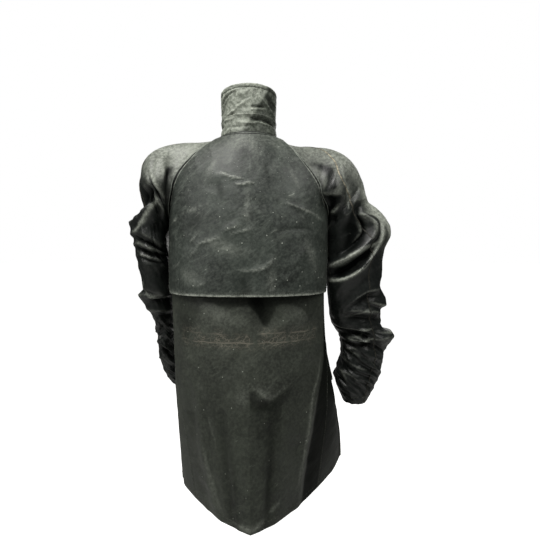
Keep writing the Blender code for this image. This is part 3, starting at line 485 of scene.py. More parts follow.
COLLAR_CREASES = (
    # above below round  line, as (height in metres, degrees round from the centre back, height)
    (3, 4, 3, ((0.104, 18, 0), (0.102, 30, 2.6), (0.098, 47, 3.4), (0.092, 62, 3.2), (0.080, 84, 0))),
    (4, 4, 4, ((0.100, 26, 0), (0.097, 36, -2.4), (0.091, 52, -3.6), (0.080, 70, -3.4), (0.070, 84, 0))),
    (4, 5, 3, ((0.097, 30, 0), (0.092, 42, 2.8), (0.084, 54, 3.4), (0.072, 70, 3.2), (0.058, 86, 0))),
    (6, 6, 5, ((0.088, 40, 0), (0.078, 54, -2.2), (0.066, 68, -2.6), (0.056, 80, 0))),
    (2.5, 3.5, 2, ((0.084, 0, 0), (0.079, 8, -1.6), (0.075, 14, -2.2), (0.069, 22, -2.2), (0.063, 34, 0))),
    (5, 7, 5, ((0.080, 2, 0), (0.072, 12, 1.8), (0.064, 22, 2.0), (0.058, 30, 0))),
    (4, 4, 3, ((0.066, -38, 0), (0.064, -30, -3.0), (0.062, -18, -3.6), (0.061, -8, -2.4), (0.058, 0, 0))),
    (4, 4, 3, ((0.062, -36, 0), (0.056, -25, 2.6), (0.055, -8, 2.2), (0.050, 2, 0))),
    (9, 3, 2, (
        (0.092, -14, 0), (0.084, -22, 3.0), (0.074, -32, 4.2), (0.064, -44, 4.4), (0.053, -62, 3.0),
        (0.048, -72, 0),
    )),
    (8, 8, 5, ((0.100, -36, 0), (0.088, -44, -3.0), (0.074, -56, -4.0), (0.062, -70, 0))),
    (3, 3, 3, ((0.056, 28, 0), (0.053, 36, 2.6), (0.050, 44, 3.0), (0.046, 54, 0))),
    (3, 3, 3, ((0.052, 26, 0), (0.048, 34, -2.4), (0.045, 42, -2.8), (0.043, 50, 0))),
    (7, 7, 5, ((0.098, -4, 0), (0.092, 8, 1.6), (0.090, 22, 1.4), (0.086, 30, 0))),
    (3.5, 3.5, 3, (
        (0.038, 8, 0), (0.035, 0, -3.0), (0.031, -14, -4.0), (0.032, -26, -3.0), (0.030, -50, -4.0),
        (0.028, -64, 0),
    )),
    (3, 4, 3, ((0.036, 30, 0), (0.036, 42, 2.4), (0.037, 56, 3.0), (0.038, 76, 0))),
    (4, 4, 3, ((0.030, 64, 0), (0.028, 76, -3.4), (0.030, 88, -3.6), (0.032, 100, 0))),
    (3.5, 4, 3, ((0.030, 30, 0), (0.026, 22, 2.2), (0.021, 8, 2.6), (0.022, -10, 2.6), (0.029, -22, 0))),
    (3, 3, 3, ((0.026, -18, 0), (0.023, -26, 2.4), (0.022, -37, 2.8), (0.026, -52, 0))),
    (3, 3, 4, ((0.018, 54, 0), (0.016, 36, -1.8), (0.014, 18, -1.6), (0.014, 0, 0))),
    (7, 7, 3, ((0.100, 140, 0), (0.080, 118, 3.0), (0.060, 96, 0))),
    (7, 7, 3, ((0.100, -140, 0), (0.080, -118, 3.0), (0.060, -96, 0))),
    (5, 5, 3, ((0.030, 150, 0), (0.026, 120, 2.0), (0.030, 100, 0))),
    (5, 5, 3, ((0.022, -150, 0), (0.028, -120, 2.0), (0.022, -90, 0))),
)

# The fronts' turned edges: top, right, bottom and left. Other panels are turned at the hem only
FREE_EDGES = {"front_left": (0, 1, 1, 0), "front_right": (0, 0, 1, 1)}
# The over-arm seams of the sleeves: down and across
OVER_ARM_SEAM = {
    "left": (
        (0.10, 0.48), (0.40, 0.47), (0.80, 0.455), (1.10, 0.45), (1.50, 0.44), (2.00, 0.43),
        (2.59, 0.43),
    ),
    "right": (
        (0.10, 0.48), (0.28, 0.44), (0.42, 0.37), (0.57, 0.28), (0.72, 0.20), (0.84, 0.21),
        (0.92, 0.22), (1.10, 0.26), (1.50, 0.30), (2.00, 0.31), (2.59, 0.32),
    ),
}

# Oval patches on a panel: (down, across), half length and half width in millimetres, the turn in
# degrees, and how pale (over 0) or dark (under 0) each is. They are mostly painted light and painted
# shade, pools of light on faces turned to the lamps and shade in hollows and on sides turned from
# them, with some dried and thick wax among them.
PATCHES = {
    "back": (
        (1.34, 0.26, 24, 42, 8, 0.14), (1.345, -0.45, 22, 30, -8, 0.12),
        (1.60, 0.12, 18, 26, 20, 0.16), (1.70, 0.57, 60, 7, 0, 0.12), (1.86, 0.36, 90, 12, 0, -0.35),
        (1.90, -0.36, 90, 12, 0, -0.30),
    ),
    "front_right": ((1.80, 1.00, 210, 80, 0, -0.95), (1.45, 1.00, 120, 60, 0, -0.7)),
    "storm_cape": (
        (0.75, 0.30, 70, 14, 10, -0.55), (1.01, 0.42, 30, 30, -20, -0.6), (0.56, -0.24, 90, 16, 0, -0.5),
        (0.90, -0.42, 80, 16, 0, -0.4), (1.22, 0.06, 40, 16, 0, -0.4), (1.12, -0.30, 30, 18, 30, -0.3),
        (0.34, 0.10, 60, 30, 0, -0.25), (0.30, -0.40, 60, 30, 0, -0.25), (1.20, 0.84, 40, 14, 0, -0.4),
        (0.16, 0.24, 80, 44, 0, 0.18), (0.50, 0.50, 80, 12, 0, 0.2), (1.12, -0.50, 34, 12, 30, 0.26),
        (1.10, 0.18, 14, 40, -20, 0.22), (1.20, 0.46, 16, 30, -20, 0.2), (1.22, -0.16, 30, 8, 0, 0.22),
        (0.90, 0.02, 90, 6, 0, 0.2), (0.62, -0.62, 70, 10, 0, 0.22), (0.20, -0.06, 60, 8, 0, 0.16),
    ),
    "sleeve_back_right": (
        (0.80, 0.34, 46, 32, 0, 0.25), (0.94, 0.38, 22, 26, 0, 0.40), (0.95, 0.24, 12, 12, 0, 0.35),
        (0.88, 0.13, 12, 20, 0, 0.75), (0.965, 0.10, 4, 24, 0, 0.5),
        (0.93, 0.08, 10, 26, -14, -1.1), (1.00, 0.12, 12, 24, 0, -0.3),
        (1.10, 0.42, 40, 30, 0, 0.45), (1.30, 0.44, 50, 22, 0, 0.5),
        (1.19, 0.20, 30, 30, 0, -0.6), (2.07, 0.28, 8, 60, 0, -0.6),
    ),
    "sleeve_back_left": (
        (0.87, 0.22, 14, 18, 0, 0.55), (0.74, 0.09, 34, 9, 0, -0.9), (0.93, 0.41, 44, 9, 0, -0.7),
        (1.44, 0.26, 16, 30, 0, 0.10),
        (1.08, 0.08, 40, 12, 0, -0.4), (1.35, 0.27, 26, 70, -10, -0.5), (1.56, 0.10, 60, 24, 0, -0.4),
    ),
}
# Painted shadow edges, painted highlights along folds' lips and painted shade in hollows, drawn as
# creases are: how far each reaches above and below in millimetres, its roundness, and its line of
# (down, across, pale or dark)
MARKS = {
    "back": (
        (50, 3, 14, (
            (1.44, 0.66, 0.0), (1.37, 0.53, -0.5), (1.295, 0.41, -0.6), (1.285, 0.31, -0.6),
            (1.30, 0.19, -0.6), (1.295, 0.09, -0.6), (1.295, 0.0, -0.6), (1.325, -0.07, -0.5),
            (1.365, -0.14, -0.5), (1.325, -0.19, -0.5), (1.295, -0.23, -0.6), (1.29, -0.34, -0.6),
            (1.31, -0.47, -0.5), (1.36, -0.6, 0.0),
        )),
        (2.5, 60, 2, (
            (1.58, 0.02, 0.0), (1.585, -0.03, -0.6), (1.605, -0.16, -0.6), (1.628, -0.26, -0.6),
            (1.608, -0.33, -0.7), (1.592, -0.4, -0.6), (1.61, -0.5, 0.0),
        )),
        (3, 60, 2, (
            (1.70, 0.98, -0.3), (1.69, 0.8, -0.45), (1.665, 0.68, -0.45), (1.63, 0.58, -0.4),
            (1.66, 0.48, 0.0),
        )),
        (8, 2, 2, ((1.57, 0.0, 0.0), (1.585, -0.12, 0.2), (1.61, -0.26, 0.3), (1.585, -0.4, 0.15))),
        (3.5, 3.5, 4, (
            (1.48, -0.84, 0.0), (1.56, -0.82, 0.3), (1.64, -0.745, 0.4), (1.79, -0.735, 0.4),
            (1.90, -0.71, 0.25), (1.95, -0.7, 0.0),
        )),
        (4, 14, 2, ((1.70, 0.62, 0.0), (1.82, 0.69, 0.2), (1.92, 0.64, 0.2), (1.985, 0.56, 0.0))),
        (5, 4, 4, (
            (1.99, 0.5, 0.0), (1.988, 0.3, 0.4), (1.988, 0.05, 0.55), (1.986, -0.22, 0.5),
            (1.97, -0.36, 0.15),
        )),
        (3, 3, 4, ((1.97, -0.34, 0.1), (1.955, -0.43, 0.35), (1.945, -0.5, 0.3))),
    ),
    "sleeve_back_right": (
        (16, 2, 8, (
            (1.17, 0.31, -0.3), (1.22, 0.365, -0.8), (1.27, 0.36, -1.1), (1.32, 0.34, -1.2),
            (1.35, 0.31, -1.2), (1.33, 0.26, -1.2), (1.325, 0.23, -1.2), (1.32, 0.185, -1.1),
            (1.33, 0.155, -0.8), (1.32, 0.11, -0.4),
        )),
        (2, 10, 6, (
            (1.17, 0.31, 0.2), (1.22, 0.365, 1.0), (1.27, 0.36, 1.5), (1.32, 0.34, 1.6),
            (1.35, 0.31, 1.6), (1.33, 0.26, 1.6), (1.325, 0.23, 1.5), (1.32, 0.185, 1.3),
            (1.33, 0.155, 1.0), (1.32, 0.11, 0.4),
        )),
        (18, 18, 8, (
            (1.05, 0.38, 0.48), (1.17, 0.43, 1.28), (1.24, 0.44, 1.44), (1.32, 0.45, 1.12),
            (1.42, 0.44, 0.16),
        )),
        (13, 2, 12, (
            (1.38, 0.31, -0.3), (1.41, 0.29, -1.1), (1.455, 0.27, -1.2), (1.46, 0.24, -1.2),
            (1.455, 0.18, -1.2), (1.44, 0.14, -1.1), (1.405, 0.065, -0.5),
        )),
        (2, 4.5, 4, (
            (1.38, 0.31, 0.5), (1.41, 0.29, 1.4), (1.455, 0.27, 1.6), (1.46, 0.24, 1.6),
            (1.455, 0.18, 1.6), (1.44, 0.14, 1.4), (1.405, 0.065, 0.8),
        )),
        (3, 26, 4, ((1.09, 0.21, 0.0), (1.10, 0.24, -0.7), (1.10, 0.29, -0.7), (1.105, 0.34, 0.0))),
        (16, 16, 4, ((0.50, 0.10, -0.2), (0.66, 0.12, -0.6), (0.80, 0.12, -0.7), (0.88, 0.09, -0.5))),
        (5, 5, 2, ((0.70, 0.245, 0.1), (0.83, 0.235, 0.3), (0.92, 0.225, 0.35), (1.02, 0.215, 0.2))),
        (3, 3, 4, ((1.985, 0.10, 0.0), (1.988, 0.16, 0.5), (2.0, 0.21, 0.4), (1.98, 0.25, 0.0))),
        (3, 3, 4, ((2.08, 0.05, 0.0), (2.13, 0.11, 0.4), (2.15, 0.16, 0.3), (2.19, 0.20, 0.0))),
        (3, 3, 4, ((2.31, 0.07, 0.0), (2.36, 0.12, 0.4), (2.40, 0.14, 0.2), (2.45, 0.14, 0.0))),
        (3, 3, 4, ((1.76, 0.12, 0.0), (1.79, 0.20, 0.3), (1.79, 0.27, 0.4), (1.80, 0.34, 0.0))),
    ),
    "sleeve_back_left": (
        (16, 2, 10, (
            (0.96, 0.19, -0.6), (1.055, 0.24, -1.3), (1.13, 0.275, -1.4), (1.225, 0.325, -1.4),
            (1.295, 0.37, -1.3), (1.34, 0.41, -0.8),
        )),
        (1.5, 6, 4, (
            (0.96, 0.19, 1.14), (1.055, 0.24, 1.9), (1.13, 0.275, 1.9), (1.225, 0.325, 1.9),
            (1.295, 0.37, 1.71), (1.34, 0.41, 0.95),
        )),
        (4, 4, 4, (
            (0.885, 0.24, -0.6), (0.90, 0.20, -1.3), (0.915, 0.15, -1.3), (0.935, 0.10, -0.6),
        )),
        (6, 3, 4, ((0.87, 0.25, 0.2), (0.87, 0.20, 0.5), (0.88, 0.145, 0.5), (0.90, 0.08, 0.3))),
        (3.6, 3.6, 4, ((0.975, 0.215, 0.5), (0.955, 0.17, 0.8), (0.965, 0.13, 0.7), (0.99, 0.07, 0.2))),
        (4, 4, 4, ((1.36, 0.43, -0.5), (1.35, 0.33, -1.0), (1.31, 0.22, -1.0), (1.26, 0.06, -1.0))),
        (4, 4, 4, ((1.42, 0.40, -0.6), (1.40, 0.30, -1.0), (1.35, 0.20, -1.0), (1.28, 0.05, -0.9))),
        (4, 4, 4, ((1.47, 0.40, -0.4), (1.44, 0.30, -0.8), (1.41, 0.22, -0.9), (1.32, 0.05, -0.8))),
        (3, 3, 4, ((1.385, 0.41, 0.2), (1.37, 0.31, 0.4), (1.325, 0.21, 0.3), (1.28, 0.1, 0.0))),
        (3, 3, 4, ((1.445, 0.40, 0.2), (1.42, 0.30, 0.4), (1.38, 0.21, 0.3), (1.31, 0.1, 0.0))),
        (3.2, 3.2, 4, (
            (1.60, 0.34, 0.2), (1.66, 0.36, 0.5), (1.685, 0.31, 0.6), (1.66, 0.25, 0.5),
            (1.61, 0.18, 0.4), (1.575, 0.12, 0.1),
        )),
        (3, 7, 4, ((1.69, 0.37, -0.3), (1.715, 0.30, -0.9), (1.685, 0.24, -0.9), (1.63, 0.16, -0.6))),
    ),
}
# The dark side of the back: right of a line of (down, across) it hangs in its own shade
SHADED_SIDE = (
    (1.20, -0.95), (1.32, -0.91), (1.57, -0.86), (1.67, -0.78), (1.79, -0.77), (1.91, -0.75),
    (2.05, -0.74),
)

# The colours of the creased waist, its worn lines, and the near-black painted shade laid in hollows and
# shaded places
WAIST_SHADE, WAIST_LINES, PAINTED_SHADE_COLOUR = "#45433b", "#7f7a6d", "#0a0c0b"
# Nodes that many materials share: a product, a sum and one colour laid over another
TIMES = {"kind": "ShaderNodeMath", "operation": "MULTIPLY"}
PLUS = {"kind": "ShaderNodeMath", "operation": "ADD"}
OVER = {"kind": "ShaderNodeMix", "data_type": "RGBA", "out": 2}

CAMERA_PLACE = (0.0, 1.02, -0.295)
CAMERA_YAW, CAMERA_PITCH = 2.94, 2.35    # degrees
FLOOR = -1.45
ROOM_LIGHT = 0.05
SOFT_BOXES = (
    # name  watts  side in metres  place  what it is aimed at
    ("soft box above the camera", 41, 1.0, (0.62, 0.95, 1.35), (0.0, 0.0, -0.25)),
    ("soft box over the right sleeve", 7.2, 0.6, (-0.85, 0.7, 0.6), (-0.33, 0.0, -0.2)),
    ("soft box beside the left sleeve", 4.5, 0.5, (1.25, 0.85, 0.1), (0.33, 0.0, -0.25)),
    ("soft box before the coat", 14, 1.6, (-0.7, -1.9, 0.5), (0.0, 0.0, -0.4)),
)


def through(table, at, columns=slice(1, None)):
    """A smooth curve through a table's rows, read at the values `at` of its first column: a cubic
    between each two rows, whose slopes come from the neighbouring rows."""
    rows = np.array(table, float)
    knots, values = rows[:, 0], rows[:, columns]
    at = np.clip(np.asarray(at, float), knots[0], knots[-1])
    slopes = np.gradient(values, knots, axis=0)
    i = np.clip(np.searchsorted(knots, at, side="right") - 1, 0, len(knots) - 2)
    step = knots[i + 1] - knots[i]
    t = ((at - knots[i]) / step)[..., None]
    step = step[..., None]
    return (
        (1 + 2 * t) * (1 - t) ** 2 * values[i]
        + t * (1 - t) ** 2 * step * slopes[i]
        + t**2 * (3 - 2 * t) * values[i + 1]
        + t**2 * (t - 1) * step * slopes[i + 1]
    )


def columns_of(table, at):
    """The table's columns, each read at `at`."""
    return np.moveaxis(through(table, at), -1, 0)


def unit(vectors):
    return vectors / np.maximum(np.linalg.norm(vectors, axis=-1, keepdims=True), 1e-12)


def smooth(x):
    x = np.clip(x, 0, 1)
    return x * x * (3 - 2 * x)


def ring(down, angle):
    """A point of the body's outer face. The wearer's right of the front sinks behind the left."""
    down, angle = np.broadcast_arrays(np.asarray(down, float), angle)
    left, right, left_y, right_y, side_z = columns_of(SIDES, down)
    back_y, back_z, front_y, front_z, back_power, front_power = columns_of(DEPTHS, down)
    sine, cosine = np.sin(np.radians(angle)), np.cos(np.radians(angle))
    width, side_y = np.where(sine > 0, (left, left_y), (right, right_y))
    depth, level, power = np.where(
        cosine > 0, (back_y, back_z, 2 / back_power), (front_y, front_z, 2 / front_power)
    )
    x = width * np.sign(sine) * np.abs(sine) ** power
    y = side_y + (depth - side_y) * np.abs(cosine) ** power
    y -= CENTRE_ROUNDING * (power - 1) * np.exp(-((x / 0.035) ** 2)) * (cosine > 0)
    z = side_z + (level - side_z) * np.abs(cosine)
    under = UNDERLAP_DEPTH * smooth((-angle - 125) / 25)
    keep = 1 - under / np.hypot(x, y)
    return np.stack([x * keep, y * keep, z], axis=-1)


def seam_angle(down, side, piece):
    """The angle from the centre back to the edge of the back (piece 1) or of a front (piece 2)."""
    column = 3 if piece == 2 else 1 if side > 0 else 2
    raglan = through(RAGLAN, down, [column])[..., 0]
    lower = through(SIDE_SEAM, down, [1 if side > 0 else 2])[..., 0]
    return np.where(down < 1, raglan, lower)


def back_point(down, across):
    """across is -1 at the wearer's right seam and 1 at the left one."""
    left = seam_angle(down, 1, 1)
    right = seam_angle(down, -1, 1)
    return ring(down, across * np.where(across > 0, left, right))


def overlap_angle(down):
    """How far past the centre front a front's edge lies, in degrees."""
    right = through(SIDES, down, [2])[..., 0]
    power = through(DEPTHS, down, [6])[..., 0]
    return np.degrees(np.arcsin((FRONT_OVERLAP / right) ** (power / 2)))


def front_point(down, across, side):
    """across is -1 at the front edge, 0 at the centre front and 1 at the seam."""
    to_edge = -overlap_angle(down) * across
    to_seam = (seam_angle(down, side, 2) - 180) * across
    return ring(down, side * (180 + np.where(across < 0, to_edge, to_seam)))


def sleeve_point(down, across, side):
    """A section of the sleeve. Each half is a cubic from the outside of the arm to the seam,
    driven out to the back or the front by the swell. Its first section lies on the neck seam."""
    name = "left" if side > 0 else "right"
    down, across = np.broadcast_arrays(np.asarray(down, float), across)
    neck_angles = through(((0, 70), (0.5, 94), (1, 118)), across)[..., 0]
    neck = ring(0.0, side * neck_angles) * [side, 1, 1]
    top = through(((0.0, *ring(0.0, 94.0)), *SLEEVE_OVER[name]), down)
    back = across < 0.5
    facing = np.where(back, 1.0, -1.0)[..., None] * np.array([0.0, 1.0, 0.0])
    raglan = np.where(back, seam_angle(down, side, 1), seam_angle(down, side, 2))
    open_end = ring(down, side * raglan) * [side, 1, 1]
    end = np.where((down < 1)[..., None], open_end, through(SLEEVE_UNDER[name], down))
    swell = through(SLEEVE_SWELL, down)
    drive = np.where(back, swell[..., 0], swell[..., 1])[..., None]
    tuck = smooth((down - 0.45) / 0.55)[..., None]
    arrive = unit((1 - tuck) * unit(end - top) - tuck * facing)
    t = np.abs(across - 0.5)[..., None] * 2
    point = (
        (1 + 2 * t) * (1 - t) ** 2 * top
        + t * (1 - t) ** 2 * drive * facing
        + t**2 * (3 - 2 * t) * end
        + t**2 * (t - 1) * drive * arrive
    )
    near_neck = smooth(1 - down / 0.12)[..., None]
    return (point + (neck - point) * near_neck) * [side, 1, 1]


def front_columns():
    """A front's columns: from its edge to the centre front, and on to the seam."""
    overlap = np.linspace(-1, 0, 1 + OVERLAP_COLUMNS)
    return np.concatenate([overlap[:-1], np.linspace(0, 1, 1 + FRONT_COLUMNS)])


def body_rows():
    upper = np.linspace(0, 1, 1 + UPPER_ROWS)
    cape = np.linspace(1, CAPE_END, 1 + CAPE_ROWS)
    lower = np.linspace(CAPE_END, HEM, 1 + LOWER_ROWS)
    return np.concatenate([upper, cape[1:], lower[1:]])


def sleeve_rows():
    upper = np.linspace(0, 1, 1 + UPPER_ROWS)
    return np.concatenate([upper, np.linspace(1, SLEEVE_END, 1 + SLEEVE_ROWS)[1:]])


def crease_height(creases, down, across, lengths):
    """The height of the creases over a piece. Each follows a smooth line through its points, and
    falls away as exp(-(d / w) ** (1.2 + r / 10)) with the distance d from the line, the crest's
    roundness r and the width w, which differs on the line's upper and lower side."""
    u, v = np.broadcast_arrays(across * lengths[1], down * lengths[0])
    points = np.stack([u, v], axis=-1)[..., None, :]
    height = np.zeros(u.shape)
    for above, below, blunt, line in creases:
        knots = np.column_stack([np.arange(len(line)), np.array(line, float)])
        rows = through(knots, np.linspace(0, len(line) - 1, 7 * (len(line) - 1) + 1))
        ends = rows[:, [1, 0]] * [lengths[1], lengths[0]]
        step = np.diff(ends, axis=0)
        off = points - ends[:-1]
        part = np.clip((off * step).sum(-1) / (step * step).sum(-1), 0, 1)
        gap = off - part[..., None] * step
        distance = np.sqrt((gap * gap).sum(-1))
        near = distance.argmin(axis=-1)[..., None]
        side = np.take_along_axis(step[:, 0] * off[..., 1] - step[:, 1] * off[..., 0], near, -1)
        rise = rows[:-1, 2] + part * np.diff(rows[:, 2])
        distance = np.take_along_axis(distance, near, -1)[..., 0]
        rise = np.take_along_axis(rise, near, -1)[..., 0]
        lower = side[..., 0] * np.sign(step[:, 0].sum() or 1) > 0
        width = np.where(lower, below, above) * 1e-3
        height += rise * 1e-3 * np.exp(-((distance / width) ** (1.2 + blunt / 10)))
    return height


def ripples(u, v, size, seed, heading=0, spread=180, waves=18):
    """Uneven ripples, mostly between -1 and 1: the sum of plane waves about `size` apart, whose
    directions, within the spread of a heading in degrees, lengths and phases are drawn from the
    seed."""
    draw = np.random.default_rng(seed)
    turn = np.radians(heading + spread * draw.uniform(-1, 1, waves))
    length = size * draw.uniform(0.65, 1.6, waves)
    phase = draw.uniform(0, 2 * np.pi, waves)
    total = 0.0
    for t, wave, start in zip(turn, length, phase):
        total = total + np.cos(2 * np.pi * (u * np.cos(t) + v * np.sin(t)) / wave + start)
    return total / np.sqrt(waves)


def crumple(u, v, size, seed, heading=0, spread=180):
    """Facets between crests: the crests lie along the zero lines of the ripples and fall away to
    either side, with ripples of half the size and a third of the height on top."""
    coarse = 1 - 1.6 * np.sqrt(ripples(u, v, size, seed, heading, spread) ** 2 + 0.02)
    fine = 1 - 1.6 * np.sqrt(ripples(u, v, size / 2, seed + 1, heading, spread) ** 2 + 0.03)
    return coarse + fine / 3


def shared_normals(grids):
    """A normal at each grid's points, shared where grids meet: the sum of the cross products of
    the faces round the point. It is a unit vector on a smooth face, and longer at a sharp seam,
    as a mitre is, so that a wall keeps its thickness there."""
    points = np.concatenate([grid.reshape(-1, 3) for grid in grids.values()])
    index = np.unique(np.round(points, 6), axis=0, return_inverse=True)[1].reshape(-1)
    total = np.zeros((index.max() + 1, 3))
    area = np.zeros((index.max() + 1, 1))
    places, start = {}, 0
    for name, grid in grids.items():
        count = grid.shape[0] * grid.shape[1]
        place = places[name] = index[start : start + count].reshape(grid.shape[:2])
        start += count
        normal = np.cross(grid[1:, 1:] - grid[:-1, :-1], grid[:-1, 1:] - grid[1:, :-1])
        size = np.linalg.norm(normal, axis=-1, keepdims=True)
        for corner in (place[:-1, :-1], place[:-1, 1:], place[1:, 1:], place[1:, :-1]):
            np.add.at(total, corner, normal)
            np.add.at(area, corner, size)
    flatness = np.linalg.norm(total, axis=-1, keepdims=True) / np.maximum(area, 1e-18)
    total = unit(total) / np.clip(flatness, MOST_MITRE, 1)
    return {name: total[place] for name, place in places.items()}


def panel_grids():
    """Down, across and points of each sewn panel, in rows down and columns from left to right as
    its outer face is seen."""
    rows = body_rows()[:, None]
    arms = sleeve_rows()[:, None]
    across = np.linspace(1, -1, 1 + BACK_COLUMNS)[None, :]
    panels = {"back": (rows, across, back_point(rows, across))}
    for name, side in BOTH_SIDES:
        across = front_columns()[None, ::side]
        panels["front_" + name] = (rows, across, front_point(rows, across, side))
        half = np.linspace(0, 0.5, 1 + SLEEVE_COLUMNS)[None, ::-side]
        panels["sleeve_back_" + name] = (arms, half, sleeve_point(arms, half, side))
        half = np.linspace(0.5, 1, 1 + SLEEVE_FRONT_COLUMNS)[None, ::-side]
        panels["sleeve_front_" + name] = (arms, half, sleeve_point(arms, half, side))
    return panels


def forearm_folds(down, across, side):
    """Folds below the elbow, where the sleeve is too long for the arm: slanting ones on the right
    sleeve, and two sets that cross in diamonds on the left one."""
    u, v = across * SLEEVE_LENGTHS[1], down * SLEEVE_LENGTHS[0]
    growth = smooth((down - 1.75) / 0.3) * (1 - 0.75 * smooth((down - 2.42) / 0.12))
    growth = growth * (1 - 0.75 * np.exp(-(((across - 0.5) / 0.10) ** 2)))
    if side == "right":
        return growth * 0.0044 * crumple(u, v, 0.054, 61, 118, 18)
    return growth * 0.0030 * (crumple(u, v, 0.062, 71, 58, 9) + crumple(u, v, 0.066, 72, 122, 9))


def panel_relief(name, down, across, points):
    """How far each point of a panel stands out from its smooth form: its creases, and a fine
    crumple that grows towards the cuff. Both are held to nothing at the sewn seams."""
    u, v = points[..., 0], points[..., 2]
    if name == "back":
        held = smooth((1 - np.abs(across)) / 0.12)
        slack = 0.0003 + 0.0006 * smooth((down - 1.25) / 0.15)
        height = crease_height(BACK_CREASES, down, across, BODY_LENGTHS)
        return held * height, held * slack * crumple(u, v, 0.085, 3)
    if name.startswith("front"):
        held = smooth((1 - across) / 0.12) * smooth((across - 0.08) / 0.2)
        height = crease_height(FRONT_CREASES, down, across, BODY_LENGTHS)
        return held * height, held * 0.0007 * crumple(u, v, 0.08, 11)
    side = name.rsplit("_", 1)[1]
    creases = LEFT_SLEEVE_CREASES if side == "left" else RIGHT_SLEEVE_CREASES
    held = smooth(np.minimum(across, 1 - across) / 0.05) * smooth(down / 0.25)
    u, v = across * SLEEVE_LENGTHS[1], down * SLEEVE_LENGTHS[0]
    slack = 0.0002 + 0.0009 * smooth((down - 0.8) / 0.4)
    slack = slack * (1 - smooth((down - 2.5) / 0.1) * 0.6)
    height = crease_height(creases, down, across, SLEEVE_LENGTHS)
    fine = slack * crumple(u, v, 0.060, 21 if side == "left" else 31)
    return held * height, held * (fine + forearm_folds(down, across, side))


def tube_faces(rings, sides, start=0):
    """The faces between a tube's rings of points, which are numbered from start."""
    row = start + sides * np.arange(rings - 1)[:, None]
    around = np.arange(sides)[None, :]
    ahead = (around + 1) % sides
    quads = np.stack([row + around, row + sides + around, row + sides + ahead, row + ahead], -1)
    return quads.reshape(-1, 4)


def perimeter(rows, columns):
    index = np.arange(rows * columns).reshape(rows, columns)
    return np.concatenate([index[:-1, 0], index[-1, :-1], index[:0:-1, -1], index[0, :0:-1]])


def add_mesh(name, points, faces, material, uv=None, slot=None, replaced=(), **values):
    """A mesh in the coat's frame, smooth but for its sharp edges. values are point attributes."""
    mesh = bpy.data.meshes.new(name)
    mesh.from_pydata(points.reshape(-1, 3).tolist(), [], [face.tolist() for face in faces])
    mesh.polygons.foreach_set("use_smooth", np.ones(len(mesh.polygons), bool))
    mesh.set_sharp_from_angle(angle=np.radians(62))
    if uv is not None:
        corners = np.empty(len(mesh.loops), np.int32)
        mesh.loops.foreach_get("vertex_index", corners)
        layer = mesh.uv_layers.new(name="cloth")
        layer.data.foreach_set("uv", uv.reshape(-1, 2)[corners].astype(np.float32).ravel())
    for key, value in values.items():
        made = mesh.attributes.new(key, "FLOAT", "POINT")
        made.data.foreach_set("value", value.astype(np.float32).ravel())
    mesh.materials.append(material)
    piece = bpy.data.objects.new(name, mesh)
    bpy.context.scene.collection.objects.link(piece)
    if replaced:
        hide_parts(*replaced)
    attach(piece, "root")
    return piece


def add_wall(name, outer, inner, material, rounded=(0, 0, 0, 0), **more):
    """One closed body between two grids, with a strip round their edges. rounded says which of
    its top, right, bottom and left edges are turned over, and so round, as free edges are."""
    rows, columns = outer.shape[:2]
    count = rows * columns
    index = np.arange(count).reshape(rows, columns)
    front = np.stack([index[:-1, :-1], index[1:, :-1], index[1:, 1:], index[:-1, 1:]], -1)
    front = front.reshape(-1, 4)
    rim = perimeter(rows, columns)
    outward = np.zeros((rows, columns, 3))
    top, right, bottom, left = rounded
    outward[0] += top * unit(outer[0] - outer[1])
    outward[-1] += bottom * unit(outer[-1] - outer[-2])
    outward[:, 0] += left * unit(outer[:, 0] - outer[:, 1])
    outward[:, -1] += right * unit(outer[:, -1] - outer[:, -2])
    outward = outward.reshape(-1, 3)[rim]
    outer_rim, inner_rim = outer.reshape(-1, 3)[rim], inner.reshape(-1, 3)[rim]
    half = (outer_rim - inner_rim) / 2
    size = np.linalg.norm(half, axis=-1, keepdims=True)
    turns = np.radians([36, 72, 108, 144])[:, None, None]
    arcs = (outer_rim + inner_rim) / 2 + half * np.cos(turns) + outward * size * np.sin(turns)
    points = np.concatenate([outer.reshape(-1, 3), inner.reshape(-1, 3), arcs.reshape(-1, 3)])
    rings = [rim, *(2 * count + np.arange(4 * len(rim)).reshape(4, -1)), rim + count]
    edges = [
        np.stack([np.roll(a, -1), a, b, np.roll(b, -1)], -1) for a, b in zip(rings, rings[1:])
    ]
    faces = np.concatenate([front, front[:, ::-1] + count, *edges])
    for key in [key for key in more if isinstance(more[key], np.ndarray)]:
        flat = np.broadcast_to(more[key], (rows, columns, *more[key].shape[2:]))
        flat = flat.reshape(count, -1)
        more[key] = np.concatenate([flat, flat, *[flat[rim]] * 4])
    return add_mesh(name, points, faces, material, **more)


def on_grid(grid, row, column):
    """The grid's point at a fractional row and column."""
    row = np.clip(row, 0, grid.shape[0] - 1.0001)
    column = np.clip(column, 0, grid.shape[1] - 1.0001)
    i, j = row.astype(int), column.astype(int)
    a, b = (row - i)[..., None], (column - j)[..., None]
    near = grid[i, j] * (1 - b) + grid[i, j + 1] * b
    far = grid[i + 1, j] * (1 - b) + grid[i + 1, j + 1] * b
    return near * (1 - a) + far * a


def inset_path(grid, edge, distance):
    """(row, column) along an edge of the grid, a distance inside it, with a place a point."""
    rows, columns = grid.shape[:2]
    line = {"top": grid[:3], "bottom": grid[::-1][:3], "left": grid[:, :3].swapaxes(0, 1),
            "right": grid[:, ::-1][:, :3].swapaxes(0, 1)}[edge]
    pace = np.linalg.norm(line[2] - line[0], axis=-1) / 2
    inside = distance / np.maximum(pace, 1e-6)
    along = np.arange(line.shape[1], dtype=float)
    return {"top": (inside, along), "bottom": (rows - 1 - inside, along),
            "left": (along, inside), "right": (along, columns - 1 - inside)}[edge]


